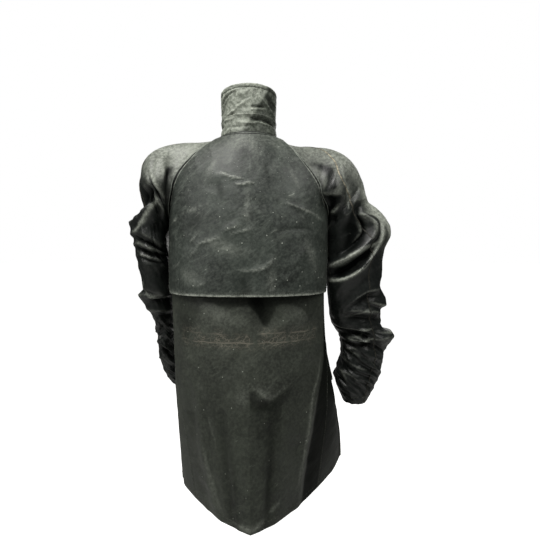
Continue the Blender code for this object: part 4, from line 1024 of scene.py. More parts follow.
def evenly(path, space):
    """The path's points, spaced evenly along it."""
    steps = np.linalg.norm(np.diff(path[:, :3], axis=0), axis=1)
    reach = np.concatenate([[0], np.cumsum(steps)])
    at = np.arange(space / 2, reach[-1], space)
    return np.stack([np.interp(at, reach, path[:, k]) for k in range(path.shape[1])], -1)


def add_stitches(name, paths, material):
    """Topstitching: along each path of (point, normal) rows, a short six-sided thread every
    STITCH_SPACE, arched out of the cloth and sunk into it at both ends."""
    places, normals, alongs = [], [], []
    for points, normal in paths:
        both = evenly(np.concatenate([points, normal], axis=1), STITCH_SPACE)
        places.append(both[:, :3])
        normals.append(unit(both[:, 3:]))
        alongs.append(unit(np.gradient(both[:, :3], axis=0)))
    place, normal, along = (np.concatenate(x)[:, None, None] for x in (places, normals, alongs))
    t = np.linspace(-1, 1, 5)[None, :, None, None]
    angle = np.linspace(0, 2 * np.pi, 7)[:-1][None, None, :, None]
    across = unit(np.cross(along, normal))
    radius = STITCH_THICK * (1 - 0.45 * t**4)
    arch = STITCH_LIFT + STITCH_THICK * (0.8 - 1.7 * t**4)
    points = place + along * t * STITCH / 2 + normal * arch
    points = points + radius * (across * np.cos(angle) + normal * np.sin(angle))
    count = len(place)
    around = np.arange(6)
    ahead = np.roll(around, -1)
    tube = [
        np.stack([6 * k + around, 6 * k + ahead, 6 * k + 6 + ahead, 6 * k + 6 + around], -1)
        for k in range(4)
    ]
    tube = np.concatenate(tube)[:, ::-1]
    faces = (tube[None] + 30 * np.arange(count)[:, None, None]).reshape(-1, 4)
    caps = np.stack([around, 24 + around[::-1]])
    caps = (caps[None] + 30 * np.arange(count)[:, None, None]).reshape(-1, 6)
    return add_mesh(name, points, [*faces, *caps], material)


def add_welt(name, grid, normals, row, column, width, height, material, **more):
    """A raised seam: a strip of the given width along a path over a panel's grid, whose section
    is a flat arch, height * (1 - |t| ** 4) from side to side. It carries no wear, painted highlight,
    painted light or painted shade unless more says so."""
    path = on_grid(grid, row, column)
    normal = unit(on_grid(normals, row, column))
    along = unit(np.gradient(path, axis=0))
    side = unit(np.cross(along, normal))
    t = np.linspace(-1, 1, WELT_COLUMNS)[None, :, None]
    outer = path[:, None] + side[:, None] * t * width / 2
    outer = outer + normal[:, None] * (0.0001 + height * (1 - np.abs(t) ** 4))
    inner = path[:, None] + side[:, None] * t * width / 2 - normal[:, None] * 0.0006
    for key in ("worn", "bloom", "hollow"):
        more.setdefault(key, np.zeros((len(path), WELT_COLUMNS)))
    return add_wall(name, outer, inner, material, **more)


def linear(code):
    """A colour written as sRGB hex, as the linear values that shaders take."""
    values = np.array([int(code[k : k + 2], 16) for k in (1, 3, 5)]) / 255
    values = np.where(values <= 0.04045, values / 12.92, ((values + 0.055) / 1.055) ** 2.4)
    return (*values.tolist(), 1.0)


def add_node(material, kind, inputs=None, stops=None, out=0, **settings):
    """Adds a node with its settings, its sockets' values or links and a ramp's stops, and gives
    back one of its output sockets."""
    made = material.node_tree.nodes.new(kind)
    for key, value in settings.items():
        setattr(made, key, value)
    for key, value in (inputs or {}).items():
        if isinstance(value, bpy.types.NodeSocket):
            material.node_tree.links.new(value, made.inputs[key])
        else:
            made.inputs[key].default_value = value
    if stops:
        ramp = made.color_ramp.elements
        while len(ramp) < len(stops):
            ramp.new(0.5)
        for element, (place, shade) in zip(ramp, stops):
            element.position = place
            element.color = shade if isinstance(shade, tuple) else (shade, shade, shade, 1)
    return made.outputs[out]


def new_material(name, roughness, specular=0.5, **sockets):
    made = bpy.data.materials.new(name)
    made.use_nodes = True
    shader = made.node_tree.nodes["Principled BSDF"]
    shader.inputs["Roughness"].default_value = roughness
    shader.inputs["Specular IOR Level"].default_value = specular
    for key, value in sockets.items():
        shader.inputs[key.replace("_", " ")].default_value = value
    return made, shader


def dried_wax(made, place, base, deep, worn, dust_and_painted_light, rubs, mottle):
    """The cloth's colour under its wax: clouds where it has dried out, a close mottle, pale
    slanting rubs and thin scratches. The mottle, the rubs and their frame are given back too."""
    # clouds of dried wax, 60 to 120 mm across
    clouds = add_node(made, "ShaderNodeTexNoise", {
        "Vector": place, "Scale": 9, "Detail": 7, "Roughness": 0.66})
    clouds = add_node(made, "ShaderNodeValToRGB", {"Fac": clouds}, [(0.38, 0.0), (0.62, 1.0)])
    colour = add_node(made, inputs={0: clouds, 6: linear(deep), 7: linear(base)}, **OVER)
    # a close mottle of handled wax, 2 to 7 mm across
    close = add_node(made, "ShaderNodeTexNoise", {
        "Vector": place, "Scale": 150, "Detail": 5, "Roughness": 0.7})
    close = add_node(made, "ShaderNodeValToRGB", {"Fac": close}, [(0.42, 0.0), (0.66, 1.0)])
    amount = add_node(made, inputs={0: close, 1: mottle}, **TIMES)
    colour = add_node(made, inputs={0: amount, 6: colour, 7: linear(worn)}, **OVER)
    # slanting rubs, 10 mm wide and 40 mm long
    slanted = add_node(made, "ShaderNodeMapping", {
        "Vector": place, "Rotation": (0, np.radians(36), 0), "Scale": (0.040, 0.03, 0.014)},
        vector_type="TEXTURE")
    strokes = add_node(made, "ShaderNodeTexNoise", {
        "Vector": slanted, "Scale": 1.0, "Detail": 7, "Roughness": 0.7, "Distortion": 0.5})
    strokes = add_node(made, "ShaderNodeValToRGB", {"Fac": strokes}, [(0.52, 0.0), (0.70, 1.0)])
    amount = add_node(made, inputs={0: strokes, 1: rubs}, **TIMES)
    colour = add_node(made, inputs={0: amount, 6: colour, 7: linear(worn)}, **OVER)
    # thin scratches, 1.5 mm wide, which is as coarse as the render needs
    fine = add_node(made, "ShaderNodeMapping", {
        "Vector": place, "Rotation": (0.2, np.radians(30), 0), "Scale": (0.026, 0.01, 0.0022)},
        vector_type="TEXTURE")
    scratch = add_node(made, "ShaderNodeTexNoise", {
        "Vector": fine, "Scale": 1.0, "Detail": 2, "Roughness": 0.5})
    scratch = add_node(made, "ShaderNodeValToRGB", {"Fac": scratch}, [(0.64, 0.0), (0.74, 1.0)])
    amount = add_node(made, inputs={0: scratch, 1: amount}, **TIMES)
    colour = add_node(made, inputs={0: amount, 6: colour, 7: linear(dust_and_painted_light)}, **OVER)
    return colour, close, strokes, slanted


def grit(made, colour, dust_and_painted_light, specks):
    """Pale specks of grit, 2 mm across and 20 to 40 mm apart."""
    flat = add_node(made, "ShaderNodeTexCoord", out="UV")
    dot, tint = [
        add_node(made, "ShaderNodeTexVoronoi", {"Vector": flat, "Scale": 62}, out=out,
                 voronoi_dimensions="2D")
        for out in ("Distance", "Color")
    ]
    dot = add_node(made, "ShaderNodeValToRGB", {"Fac": dot}, [(0.045, 1.0), (0.09, 0.0)])
    some = add_node(made, "ShaderNodeMath", {0: tint, 1: 1 - specks}, operation="GREATER_THAN")
    amount = add_node(made, inputs={0: dot, 1: some}, **TIMES)
    return add_node(made, inputs={0: amount, 6: colour, 7: linear(dust_and_painted_light)}, **OVER)


def waist_wear(made, place, colour):
    """Two creases worn through along the waist, and a net of fine cracks between them. The colour
    and the lines are given back."""
    band = add_node(made, "ShaderNodeAttribute", out="Fac", attribute_name="belt_wear")
    along = add_node(made, "ShaderNodeAttribute", out="Fac", attribute_name="belt")
    wander = add_node(made, "ShaderNodeTexNoise", {"Vector": place, "Scale": 34, "Detail": 4})
    wander = add_node(made, inputs={0: wander, 1: 0.16}, **TIMES)
    along = add_node(made, inputs={0: along, 1: wander}, **PLUS)
    lines = add_node(made, "ShaderNodeValToRGB", {"Fac": along}, [
        (0.385, 0.0), (0.415, 1.0), (0.45, 0.0), (0.70, 0.0), (0.73, 1.0), (0.76, 0.0)])
    bent = add_node(made, "ShaderNodeMapping", {
        "Vector": place, "Rotation": (0, 0.5, 0), "Scale": (0.022, 0.01, 0.009)},
        vector_type="TEXTURE")
    drift = add_node(made, "ShaderNodeTexNoise", {"Vector": place, "Scale": 60}, out="Color")
    bent = add_node(made, "ShaderNodeVectorMath", {0: drift, 1: (1.6, 1.6, 1.6), 2: bent},
                    operation="MULTIPLY_ADD")
    net = add_node(made, "ShaderNodeTexVoronoi", {"Vector": bent, "Scale": 1.0},
                   feature="DISTANCE_TO_EDGE")
    net = add_node(made, "ShaderNodeValToRGB", {"Fac": net}, [(0.01, 0.7), (0.075, 0.0)])
    lines = add_node(made, "ShaderNodeMath", {0: lines, 1: net}, operation="MAXIMUM")
    broken = add_node(made, "ShaderNodeTexNoise", {"Vector": place, "Scale": 26, "Detail": 6})
    broken = add_node(made, "ShaderNodeValToRGB", {"Fac": broken}, [(0.36, 0.0), (0.54, 0.9)])
    broken = add_node(made, inputs={0: broken, 1: band}, **TIMES)
    amount = add_node(made, inputs={0: broken, 1: 0.4}, **TIMES)
    colour = add_node(made, inputs={0: amount, 6: colour, 7: linear(WAIST_SHADE)}, **OVER)
    lines = add_node(made, inputs={0: lines, 1: broken}, **TIMES)
    return add_node(made, inputs={0: lines, 6: colour, 7: linear(WAIST_LINES)}, **OVER), lines


# The pale colour given for dust also paints the highlights on crests and the light on upward and lit faces
def waxed_cotton(name, base, deep, worn, dust_and_painted_light, roughness, rubs=0.5, mottle=0.3, specks=0.0,
                 belt=False, grain=0.25, specular=0.35):
    """Close-woven cotton dressed with dark wax. The wax gives the eye a near-black green with a
    low satin sheen, cloudy patches where it has dried out and pale slanting rubs where it has worn
    off. Over it lie painted shade, near black, in hollows and shaded places, a painted highlight
    with wear on crests, and painted light with dry wax on upward and lit faces."""
    made, shader = new_material(name, roughness, specular)
    link = made.node_tree.links.new
    place = add_node(made, "ShaderNodeTexCoord", out="Object")
    colour, close, strokes, slanted = dried_wax(made, place, base, deep, worn, dust_and_painted_light, rubs, mottle)
    if specks:
        colour = grit(made, colour, dust_and_painted_light, specks)
    if belt:
        colour, lines = waist_wear(made, place, colour)
    # painted shade: hollows and shaded places are darkened towards near black, and their specular is turned
    # down with it
    hollow = add_node(made, "ShaderNodeAttribute", out="Fac", attribute_name="hollow")
    hollow = add_node(made, inputs={0: hollow, 1: 0.85}, **TIMES)
    colour = add_node(made, inputs={0: hollow, 6: colour, 7: linear(PAINTED_SHADE_COLOUR)}, **OVER)
    shine = add_node(made, "ShaderNodeMapRange", {
        "Value": hollow, "From Max": 0.85, "To Min": specular, "To Max": 0.04})
    link(shine, shader.inputs["Specular IOR Level"])
    # pale crests: rubbed wax with a painted highlight where the crests catch the light
    crest = add_node(made, "ShaderNodeAttribute", out="Fac", attribute_name="worn")
    patchy = add_node(made, "ShaderNodeValToRGB", {"Fac": close}, [(0.0, 0.35), (0.7, 1.0)])
    crest = add_node(made, inputs={0: crest, 1: patchy}, **TIMES)
    colour = add_node(made, inputs={0: crest, 6: colour, 7: linear(dust_and_painted_light)}, **OVER)
    # painted light with dry wax: pale on faces turned up and to the lamps
    bloom = add_node(made, "ShaderNodeAttribute", out="Fac", attribute_name="bloom")
    uneven = add_node(made, "ShaderNodeMath", {0: close, 1: strokes}, operation="MAXIMUM")
    uneven = add_node(made, "ShaderNodeValToRGB", {"Fac": uneven}, [(0.0, 0.45), (0.8, 1.0)])
    bloom = add_node(made, inputs={0: bloom, 1: uneven}, **TIMES)
    colour = add_node(made, inputs={0: bloom, 6: colour, 7: linear(dust_and_painted_light)}, **OVER)
    link(colour, shader.inputs["Base Color"])
    # the pale places, dry wax and painted light alike, are duller than the waxed ones
    pale_roughness = add_node(made, "ShaderNodeMapRange", {
        "Value": bloom, "To Min": roughness, "To Max": roughness + 0.2})
    dull = add_node(made, inputs={0: close, 1: 0.08}, **TIMES)
    pale_roughness = add_node(made, inputs={0: dull, 1: pale_roughness}, **PLUS)
    link(pale_roughness, shader.inputs["Roughness"])
    # the weave, 2 mm apart so that it shows, and shallow handling marks 16 mm wide
    weave = add_node(made, "ShaderNodeTexNoise", {
        "Vector": place, "Scale": 520, "Detail": 2, "Roughness": 0.6})
    marks = add_node(made, "ShaderNodeTexNoise", {
        "Vector": slanted, "Scale": 0.9, "Detail": 4, "Roughness": 0.5})
    marks = add_node(made, inputs={0: marks, 1: 5.0}, **TIMES)
    relief = add_node(made, inputs={0: marks, 1: weave}, **PLUS)
    if belt:
        sunk = add_node(made, inputs={0: lines, 1: -1.5}, **TIMES)
        relief = add_node(made, inputs={0: relief, 1: sunk}, **PLUS)
    bump = add_node(made, "ShaderNodeBump", {"Height": relief, "Strength": grain, "Distance": 0.0009})
    link(bump, shader.inputs["Normal"])
    return made


def thread(name, colour, fray):
    """Spun polyester-cotton thread: a dull twisted cord, whose crests have caught pale dust."""
    made, shader = new_material(name, 0.8, 0.25)
    place = add_node(made, "ShaderNodeTexCoord", out="Object")
    twist = add_node(made, "ShaderNodeTexNoise", {"Vector": place, "Scale": 420, "Detail": 3})
    ramp = add_node(made, "ShaderNodeValToRGB", {"Fac": twist},
                    [(0.40, linear(colour)), (0.64, linear(fray))])
    made.node_tree.links.new(ramp, shader.inputs["Base Color"])
    bump = add_node(made, "ShaderNodeBump", {"Height": twist, "Strength": 0.4, "Distance": 0.0003})
    made.node_tree.links.new(bump, shader.inputs["Normal"])
    return made


def horn_resin():
    """Cast polyester resin, turned and tumbled to look like dark horn: a soft polish over dark
    brown with drawn-out lighter streaks."""
    made, shader = new_material("cast resin, horn", 0.28, 0.5)
    place = add_node(made, "ShaderNodeTexCoord", out="Object")
    drawn = add_node(made, "ShaderNodeMapping", {
        "Vector": place, "Rotation": (0, 0.5, 0), "Scale": (0.016, 0.016, 0.003)},
        vector_type="TEXTURE")
    streak = add_node(made, "ShaderNodeTexNoise", {
        "Vector": drawn, "Scale": 1.6, "Detail": 5, "Distortion": 0.8})
    ramp = add_node(made, "ShaderNodeValToRGB", {"Fac": streak},
                    [(0.35, linear("#120e0c")), (0.6, linear("#2b2019")), (0.78, linear("#57432f"))])
    made.node_tree.links.new(ramp, shader.inputs["Base Color"])
    return made


def turned_button(name, down, material):
    """A four-hole button: a turned disc whose section is a low dish inside a rounded rim, sunk
    at four places round its middle, closed to a point at the back."""
    step = 1e-3
    place = ring(down, 180.0)
    tangent = ring(down + step, 180.0) - ring(down - step, 180.0)
    normal = unit(np.cross(tangent, [1, 0, 0]))
    aside = np.array([1.0, 0, 0])
    upward = np.cross(normal, aside)
    base = place + normal * 0.0006
    section = np.array([
        # radius  height, as shares of the button's own
        (0.00, 0.52), (0.12, 0.52), (0.20, 0.52), (0.28, 0.52), (0.36, 0.53), (0.46, 0.55),
        (0.60, 0.60), (0.72, 0.74), (0.80, 0.92), (0.87, 1.00), (0.94, 0.94), (0.99, 0.76),
        (1.00, 0.55), (0.98, 0.30), (0.90, 0.10), (0.70, 0.02), (0.35, 0.00), (0.00, 0.00),
    ])
    turn = np.linspace(0, 2 * np.pi, 1 + BUTTON_SIDES)[:-1]
    radius = section[:, :1] * BUTTON_RADIUS
    x, y = radius * np.cos(turn), radius * np.sin(turn)
    height = np.repeat(section[:, 1:], BUTTON_SIDES, axis=1) * BUTTON_THICKNESS
    holes = sum(
        np.exp(-(((x - a) ** 2 + (y - b) ** 2) / HOLE_RADIUS**2) ** 2)
        for a in (-HOLE_PLACE, HOLE_PLACE) for b in (-HOLE_PLACE, HOLE_PLACE)
    )
    front = (np.arange(len(section)) < 8)[:, None]
    height = height - HOLE_DEPTH * holes * front
    points = base + x[..., None] * aside + y[..., None] * upward + height[..., None] * normal
    piece = add_mesh(name, points, tube_faces(len(section), BUTTON_SIDES), material)
    return piece, (base, normal, aside, upward)


def panel_finish(name, down, across, height, upward):
    """How worn and highlighted, how pale with dry wax and painted light, and how dark with painted
    shade each point of a panel is, and where its waist is creased."""
    sleeve, right = "sleeve" in name, name.endswith("right")
    lengths = SLEEVE_LENGTHS if sleeve else BODY_LENGTHS
    # pale crests, worn and carrying a painted highlight, stronger on the right sleeve and fading round the
    # front of a sleeve
    worn = crest_wear_and_highlight(height) * (1.3 if right else 0.6)
    if sleeve:
        worn = worn * (1 - 0.6 * smooth((across - 0.5) / 0.15))
    # a sleeve's patches are laid out over both its halves
    whole = name.replace("sleeve_front", "sleeve_back")
    patch = patches(PATCHES.get(whole, ()), down, across, lengths)
    patch = patch + 1e3 * crease_height(MARKS.get(whole, ()), down, across, lengths)
    worn = worn * (1 - np.clip(-patch, 0, 1))
    # painted shade over the side of the back that hangs turned from the light
    if name == "back":
        line = through(SHADED_SIDE, down[:, 0])
        patch = patch - 1.1 * smooth((line - across) / 0.05) * smooth((down - 1.24) / 0.05)
    # painted shade: the dark patches and marks, and the hollows of the creases
    hollow = np.clip(-patch - height / 0.011, 0, 1)
    # painted light from above: a sleeve's shoulder is paler where it faces upward, with dry wax there too;
    # the body is paler towards the neck and along the waist
    if sleeve:
        bloom = 0.75 * smooth((1.14 - down) / 0.5) * smooth((upward + 0.25) / 0.65)
        bloom = bloom * (0.5 + 0.8 * across if right else 1)
    else:
        bloom = 0.3 * smooth((0.5 - down) / 0.5) + 0.06 * np.exp(-(((down - 1.40) / 0.14) ** 2))
        worn = worn + 0.6 * smooth((-0.975 - across) / 0.02) * name.startswith("front")
    belt_wear = np.exp(-(((down - 1.41) / 0.034) ** 4)) * smooth((0.74 - np.abs(across)) / 0.12)
    return {
        "worn": worn, "bloom": np.clip(bloom + patch, 0, 1) * (1 - hollow), "hollow": hollow,
        "belt_wear": belt_wear * (name == "back"), "belt": np.clip((down - 1.36) / 0.10, 0, 1),
    }


def build_panels(cloths):
    """The back, the fronts and the sleeves' halves, each a wall whose creases are worn pale and carry
    a painted highlight along their crests, whose shoulders carry a bloom of dry wax and painted light
    from above, and whose hollows and shaded places carry painted shade."""
    panels = panel_grids()
    flat = shared_normals({name: points for name, (_, _, points) in panels.items()})
    relief = {name: panel_relief(name, *panel) for name, panel in panels.items()}
    faces = {
        name: points + flat[name] * sum(relief[name])[..., None]
        for name, (_, _, points) in panels.items()
    }
    normals = shared_normals(faces)
    for name, (down, across, _) in panels.items():
        down, across = np.broadcast_arrays(down, across)
        outer = faces[name]
        inner = outer - normals[name] * CLOTH
        sleeve = "sleeve" in name
        lengths = SLEEVE_LENGTHS if sleeve else BODY_LENGTHS
        slot, cloth = ("waxed_cotton_dark", "sleeve") if sleeve else ("waxed_cotton", "body")
        # the right front lies a metre along, so that its specks of grit differ from the left's
        uv = np.stack([across * lengths[1] + (name == "front_right"), -down * lengths[0]], -1)
        # how far each point faces up, which paints light on a sleeve's upper faces
        upward = np.clip(unit(normals[name])[..., 2], 0, 1)
        piece = add_wall(
            name + "_cloth", outer, inner, cloths[cloth], FREE_EDGES.get(name, (0, 0, 1, 0)),
            uv=uv, slot=slot, replaced=[name],
            **panel_finish(name, down, across, relief[name][0], upward),
        )
    return faces, normals


def patches(table, down, across, lengths):
    """Soft oval patches, each exp(-(x / wide) ** 2 - (y / long) ** 2) about its own middle."""
    total = np.zeros(down.shape)
    for at_down, at_across, long, wide, turn, amount in table:
        x = (across - at_across) * lengths[1] * 1e3
        y = (down - at_down) * lengths[0] * 1e3
        cosine, sine = np.cos(np.radians(turn)), np.sin(np.radians(turn))
        aside, along = (x * cosine + y * sine) / wide, (y * cosine - x * sine) / long
        total += amount * np.exp(-(aside**2) - along**2)
    return total


def crest_wear_and_highlight(height):
    """Where a crease's crest is rubbed pale and carries a painted highlight: where its height falls away on
    both sides.
    """
    drop = np.zeros_like(height)
    for axis in (0, 1):
        for reach in (1, 2):
            fall = 2 * height - np.roll(height, reach, axis) - np.roll(height, -reach, axis)
            drop = np.maximum(drop, fall / reach**1.5)
    drop[[0, 1, -1, -2]] = 0
    drop[:, [0, 1, -1, -2]] = 0
    return np.clip((drop - 0.0005) / 0.0022, 0, 1) * 0.55


def cape_base():
    """The back's own form under the cape, whose free sides are drawn in from the side seams and
    whose lower corners are rounded."""
    above, below, columns = CAPE_GRID
    down = np.concatenate([np.linspace(0, 1, 1 + above)[:-1], np.linspace(1, CAPE_END, 1 + below)])
    down, across = down[:, None], np.linspace(1, -1, 1 + columns)[None, :]
    narrow = 1 + (CAPE_EDGE - 1) * smooth((down - 0.80) / 0.15)
    corner = np.clip((np.abs(across) - 0.945) / 0.055, 0, 1)
    rise = 0.016 * (1 - np.sqrt(1 - corner**2)) * smooth((down - 1.16) / 0.10)
    return down - rise, across * narrow, across


def build_cape(cloth):
    """The storm cape: a loose panel over the back, from the neck seam to a free hem."""
    down, across, whole = cape_base()
    base = back_point(down, across)
    normals = unit(shared_normals({"cape": base})["cape"])
    free = smooth((down - 0.86) / (CAPE_END - 0.86))
    sides = smooth((np.abs(whole) - 0.55) / 0.35)
    lift = 0.0006 + free * (CAPE_LIFT + (CAPE_SIDE_LIFT - CAPE_LIFT) * sides)
    u, v = across * BODY_LENGTHS[1], down * BODY_LENGTHS[0]
    loose = smooth((down - 0.05) / 0.2) * smooth((1 - np.abs(whole)) / 0.1)
    relief = crease_height(CAPE_CREASES, down, across, BODY_LENGTHS)
    relief = loose * (relief + 0.00035 * crumple(base[..., 0], base[..., 2], 0.07, 5))
    # the hem is drawn up a little by its stitching
    hem = np.exp(-(((CAPE_END - down) * BODY_LENGTHS[0] - EDGE_STITCHING) / 0.0016) ** 2)
    side = np.exp(-((((1 - np.abs(whole)) * CAPE_HALF_WIDTH) - EDGE_STITCHING) / 0.0016) ** 2) * free
    relief = relief - 0.0005 * np.maximum(hem, side) + free * 0.0012
    inner = base + normals * (lift + np.maximum(relief, -lift * 0.6))[..., None]
    outward = shared_normals({"cape": inner})["cape"]
    outer = inner + outward * CLOTH
    edge = np.minimum(
        (CAPE_END - down) * BODY_LENGTHS[0],
        (1 - np.abs(whole)) * CAPE_HALF_WIDTH + (1 - free) * 0.1,
    )
    worn = crest_wear_and_highlight(1.8 * relief) + 0.95 * smooth((0.0046 - edge) / 0.0035)
    # a painted highlight along the cape's edges by the raglan seams
    worn = worn + 0.6 * (np.abs(whole) > 0.98) * (down < 0.9)
    patch = patches(PATCHES["storm_cape"], down, across, BODY_LENGTHS)
    # painted shade in the cape's hollows and dark patches
    hollow = np.clip(-patch - relief / 0.006, 0, 0.8) * (np.abs(whole) < 0.99)
    # painted light: the cape is paler towards the neck, where the light falls strongest; it is also paler
    # along a thin line down its middle and in its pale patches
    middle = np.exp(-((across * BODY_LENGTHS[1] / 0.004) ** 2)) * smooth((0.9 - down) / 0.9)
    bloom = np.clip(0.14 * smooth((0.6 - down) / 0.6) + 0.12 * middle + patch, 0, 1)
    uv = np.stack(np.broadcast_arrays(u, -v), -1)
    piece = add_wall(
        "storm_cape_cloth", outer, inner, cloth, (0, 1, 1, 1), uv=uv, slot="waxed_cotton_worn",
        replaced=["storm_cape"], worn=np.clip(worn, 0, 1), bloom=bloom, hollow=hollow,
    )
    return outer, outward


def collar_form(heights, angles):
    """The collar stands up from the neck seam, and leans by the table."""
    base = ring(0.0, angles)
    out = unit(base * [1, 1, 0]) * through(COLLAR, heights)[:, None]
    return base + out + heights[:, None, None] * np.array([0, 0, 1])


def build_collar(cloth):
    """The collar's stand and its fall, turned up: two strips, sewn with a raised seam."""
    past = 180 + float(overlap_angle(0.0))
    half = SEAM_GAP / 2
    made = {}
    for name, first, last, end, rows, edges in (
        ("collar_stand", STAND_HEIGHT - half, half, past, STAND_ROWS, (0, 1, 0, 1)),
        ("collar_fall", COLLAR_HEIGHT, STAND_HEIGHT + 3 * half, FALL_END_ANGLE, FALL_ROWS,
         (1, 1, 0, 1)),
    ):
        heights = np.linspace(first, last, 1 + rows)
        angles = np.linspace(end, -end, 1 + COLLAR_COLUMNS)[None, :]
        form = collar_form(heights, angles)
        normals = unit(shared_normals({name: form})[name])
        # creases are laid out in metres: the height, and the angle at a pace for each degree
        high, round_by = np.broadcast_arrays(heights[:, None], angles * COLLAR_PACE)
        relief = crease_height(
            [(*widths, [(p, q * COLLAR_PACE, r) for p, q, r in line])
             for *widths, line in COLLAR_CREASES],
            high, round_by, (1.0, 1.0),
        )
        ends = smooth((end - np.abs(angles)) / 8)
        keep = smooth((high - first) / -0.004) * smooth((high - last) / 0.004) * ends
        relief = keep * (1.3 * relief + 0.0007 * crumple(round_by, high, 0.026, 41))
        seam = np.exp(-((high - STAND_HEIGHT) / 0.0020) ** 2)
        stitches = np.exp(-((high - (COLLAR_HEIGHT - COLLAR_STITCHING)) / 0.0014) ** 2)
        outer = form + normals * (relief + 0.0014 * seam - 0.0011 * stitches)[..., None]
        outward = shared_normals({name: outer})[name]
        inner = outer - outward * COLLAR_CLOTH
        worn = crest_wear_and_highlight(relief) + 0.5 * smooth((high - COLLAR_HEIGHT + 0.002) / 0.002)
        # painted light and shade: the collar's side turned to the light is pale, the side turned away and
        # the stitch groove are darkened, and the raised seam carries a pale line
        lit = smooth((angles + 30 - (0.08 - high) * 500) / 10)
        bloom = 0.06 + 0.42 * lit * (1 - stitches) + 0.2 * seam
        hollow = np.clip(-relief / 0.0026, 0, 1) + 0.5 * (1 - lit) * (np.abs(angles) < 100)
        hollow = hollow + 0.8 * stitches
        piece = add_wall(
            name + "_cloth", outer, inner, cloth, edges, uv=np.stack([round_by, high], -1),
            slot="waxed_cotton", replaced=[name], worn=worn, bloom=bloom,
            hollow=np.clip(hollow, 0, 1),
        )
        made[name] = (outer, outward)
    return made


def build_flaps(cloth):
    """The hip pockets' flaps, each hung from its sewn upper edge with rounded lower corners."""
    made = {}
    for name, side in BOTH_SIDES:
        down = np.linspace(*FLAP_DOWNS, 41)[:, None]
        across = np.linspace(*FLAP_ACROSS, 81)[None, ::side]
        corner = np.clip((np.abs(across - 0.5) - 0.21) / 0.04, 0, 1)
        lower = (down - FLAP_DOWNS[0]) / (FLAP_DOWNS[1] - FLAP_DOWNS[0])
        down = down - 0.012 * (1 - np.sqrt(1 - corner**2)) * smooth(lower)
        base = front_point(down, across, side)
        normals = unit(shared_normals({name: base})[name])
        u, v = across * BODY_LENGTHS[1], down * BODY_LENGTHS[0]
        relief = crease_height(FRONT_CREASES, down, across, BODY_LENGTHS)
        held = smooth((1 - across) / 0.12) * smooth((across - 0.08) / 0.2)
        lift = 0.0010 + FLAP_LIFT * lower**0.5 + held * relief + 0.0004 * crumple(u, v, 0.05, 51)
        inner = base + normals * lift[..., None]
        outward = shared_normals({name: inner})[name]
        outer = inner + outward * FLAP_CLOTH
        worn = 0.5 * smooth((lower - 0.95) / 0.05)
        piece = add_wall(
            f"pocket_flap_{name}_cloth", outer, inner, cloth, (0, 1, 1, 1),
            uv=np.stack(np.broadcast_arrays(u, -v), -1), slot="waxed_cotton",
            replaced=["pocket_flap_" + name], worn=worn,
            bloom=np.zeros_like(lift), hollow=np.zeros_like(lift),
        )
        made[name] = (outer, outward)
    return made


def stitched(surface, edge, distance, start=0.0, stop=1.0):
    """A row of stitches along an edge of a (grid, normals) surface, a distance inside it."""
    grid, normals = surface
    row, column = inset_path(grid, edge, distance)
    row, column = np.broadcast_arrays(row, column)
    first, last = int(start * (len(row) - 1)), int(stop * (len(row) - 1)) + 1
    row, column = row[first:last], column[first:last]
    return on_grid(grid, row, column), on_grid(normals, row, column)


def build_buttons(horn, cotton):
    """The five buttons, each sewn on with two threads that cross."""
    paths = []
    for number, down in enumerate(BUTTON_DOWNS, 1):
        piece, (base, normal, aside, upward) = turned_button(f"button_{number}_turned", down, horn)
        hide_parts(f"button_{number}")
        for a, b in ((1, 1), (1, -1)):
            t = np.linspace(-1, 1, 9)[:, None]
            line = base + t * HOLE_PLACE * (a * aside + b * upward)
            line = line + normal * (0.52 * BUTTON_THICKNESS + 0.0005 - 0.0012 * t**6)
            paths.append((line, np.broadcast_to(normal, line.shape)))
    cord_of(paths, "button_threads", cotton, BUTTON_THREAD)


def build_buttonholes(faces, normals, cotton):
    """Corded edges of the five buttonholes in the left front, level slits 26 mm long that start
    just before the centre front."""
    turn = np.linspace(0, 2 * np.pi, 61)
    middle, half_length, half_width = BUTTONHOLE
    across = (middle + half_length * np.cos(turn)) / BODY_LENGTHS[1]
    places = front_columns()
    column = np.interp(across, places, np.arange(len(places)))
    paths = []
    for button_down in BUTTON_DOWNS:
        down = button_down + half_width * np.sin(turn) / BODY_LENGTHS[0]
        row = np.interp(down, body_rows(), np.arange(len(body_rows())))
        paths.append((on_grid(faces, row, column), on_grid(normals, row, column)))
    cord_of(paths, "buttonhole_cords", cotton, BUTTONHOLE_CORD)


def cord_of(paths, name, material, radius):
    """Round cords: a circle of points carried along each path of (point, normal) rows."""
    angle = np.linspace(0, 2 * np.pi, 1 + CORD_SIDES)[:-1][None, :, None]
    circle = np.arange(CORD_SIDES)
    points, faces, start = [], [], 0
    for path, normal in paths:
        along = unit(np.gradient(path, axis=0))[:, None]
        normal = unit(normal)[:, None]
        side = unit(np.cross(along, normal))
        tube = path[:, None] + radius * (side * np.cos(angle) + normal * np.sin(angle))
        count = len(path)
        faces.extend(tube_faces(count, CORD_SIDES, start))
        faces.extend([start + circle, start + CORD_SIDES * (count - 1) + circle[::-1]])
        points.append(tube.reshape(-1, 3))
        start += CORD_SIDES * count
    return add_mesh(name, np.concatenate(points), faces, material)


def seam_path(table, count=240):
    """(down, across) along an over-arm seam, from its table."""
    rows = np.array(table, float)
    knots = np.column_stack([np.arange(len(rows)), rows])
    return through(knots, np.linspace(0, len(rows) - 1, count)).T


def grid_place(name, down, across, side):
    """The row and column at (down, across) on a sleeve half's grid."""
    row = np.interp(down, sleeve_rows(), np.arange(len(sleeve_rows())))
    half = np.linspace(0, 0.5, 1 + SLEEVE_COLUMNS) + (0.5 if "front" in name else 0)
    column = np.interp(across, half, np.arange(1 + SLEEVE_COLUMNS))
    return row, column if side < 0 else SLEEVE_COLUMNS - column


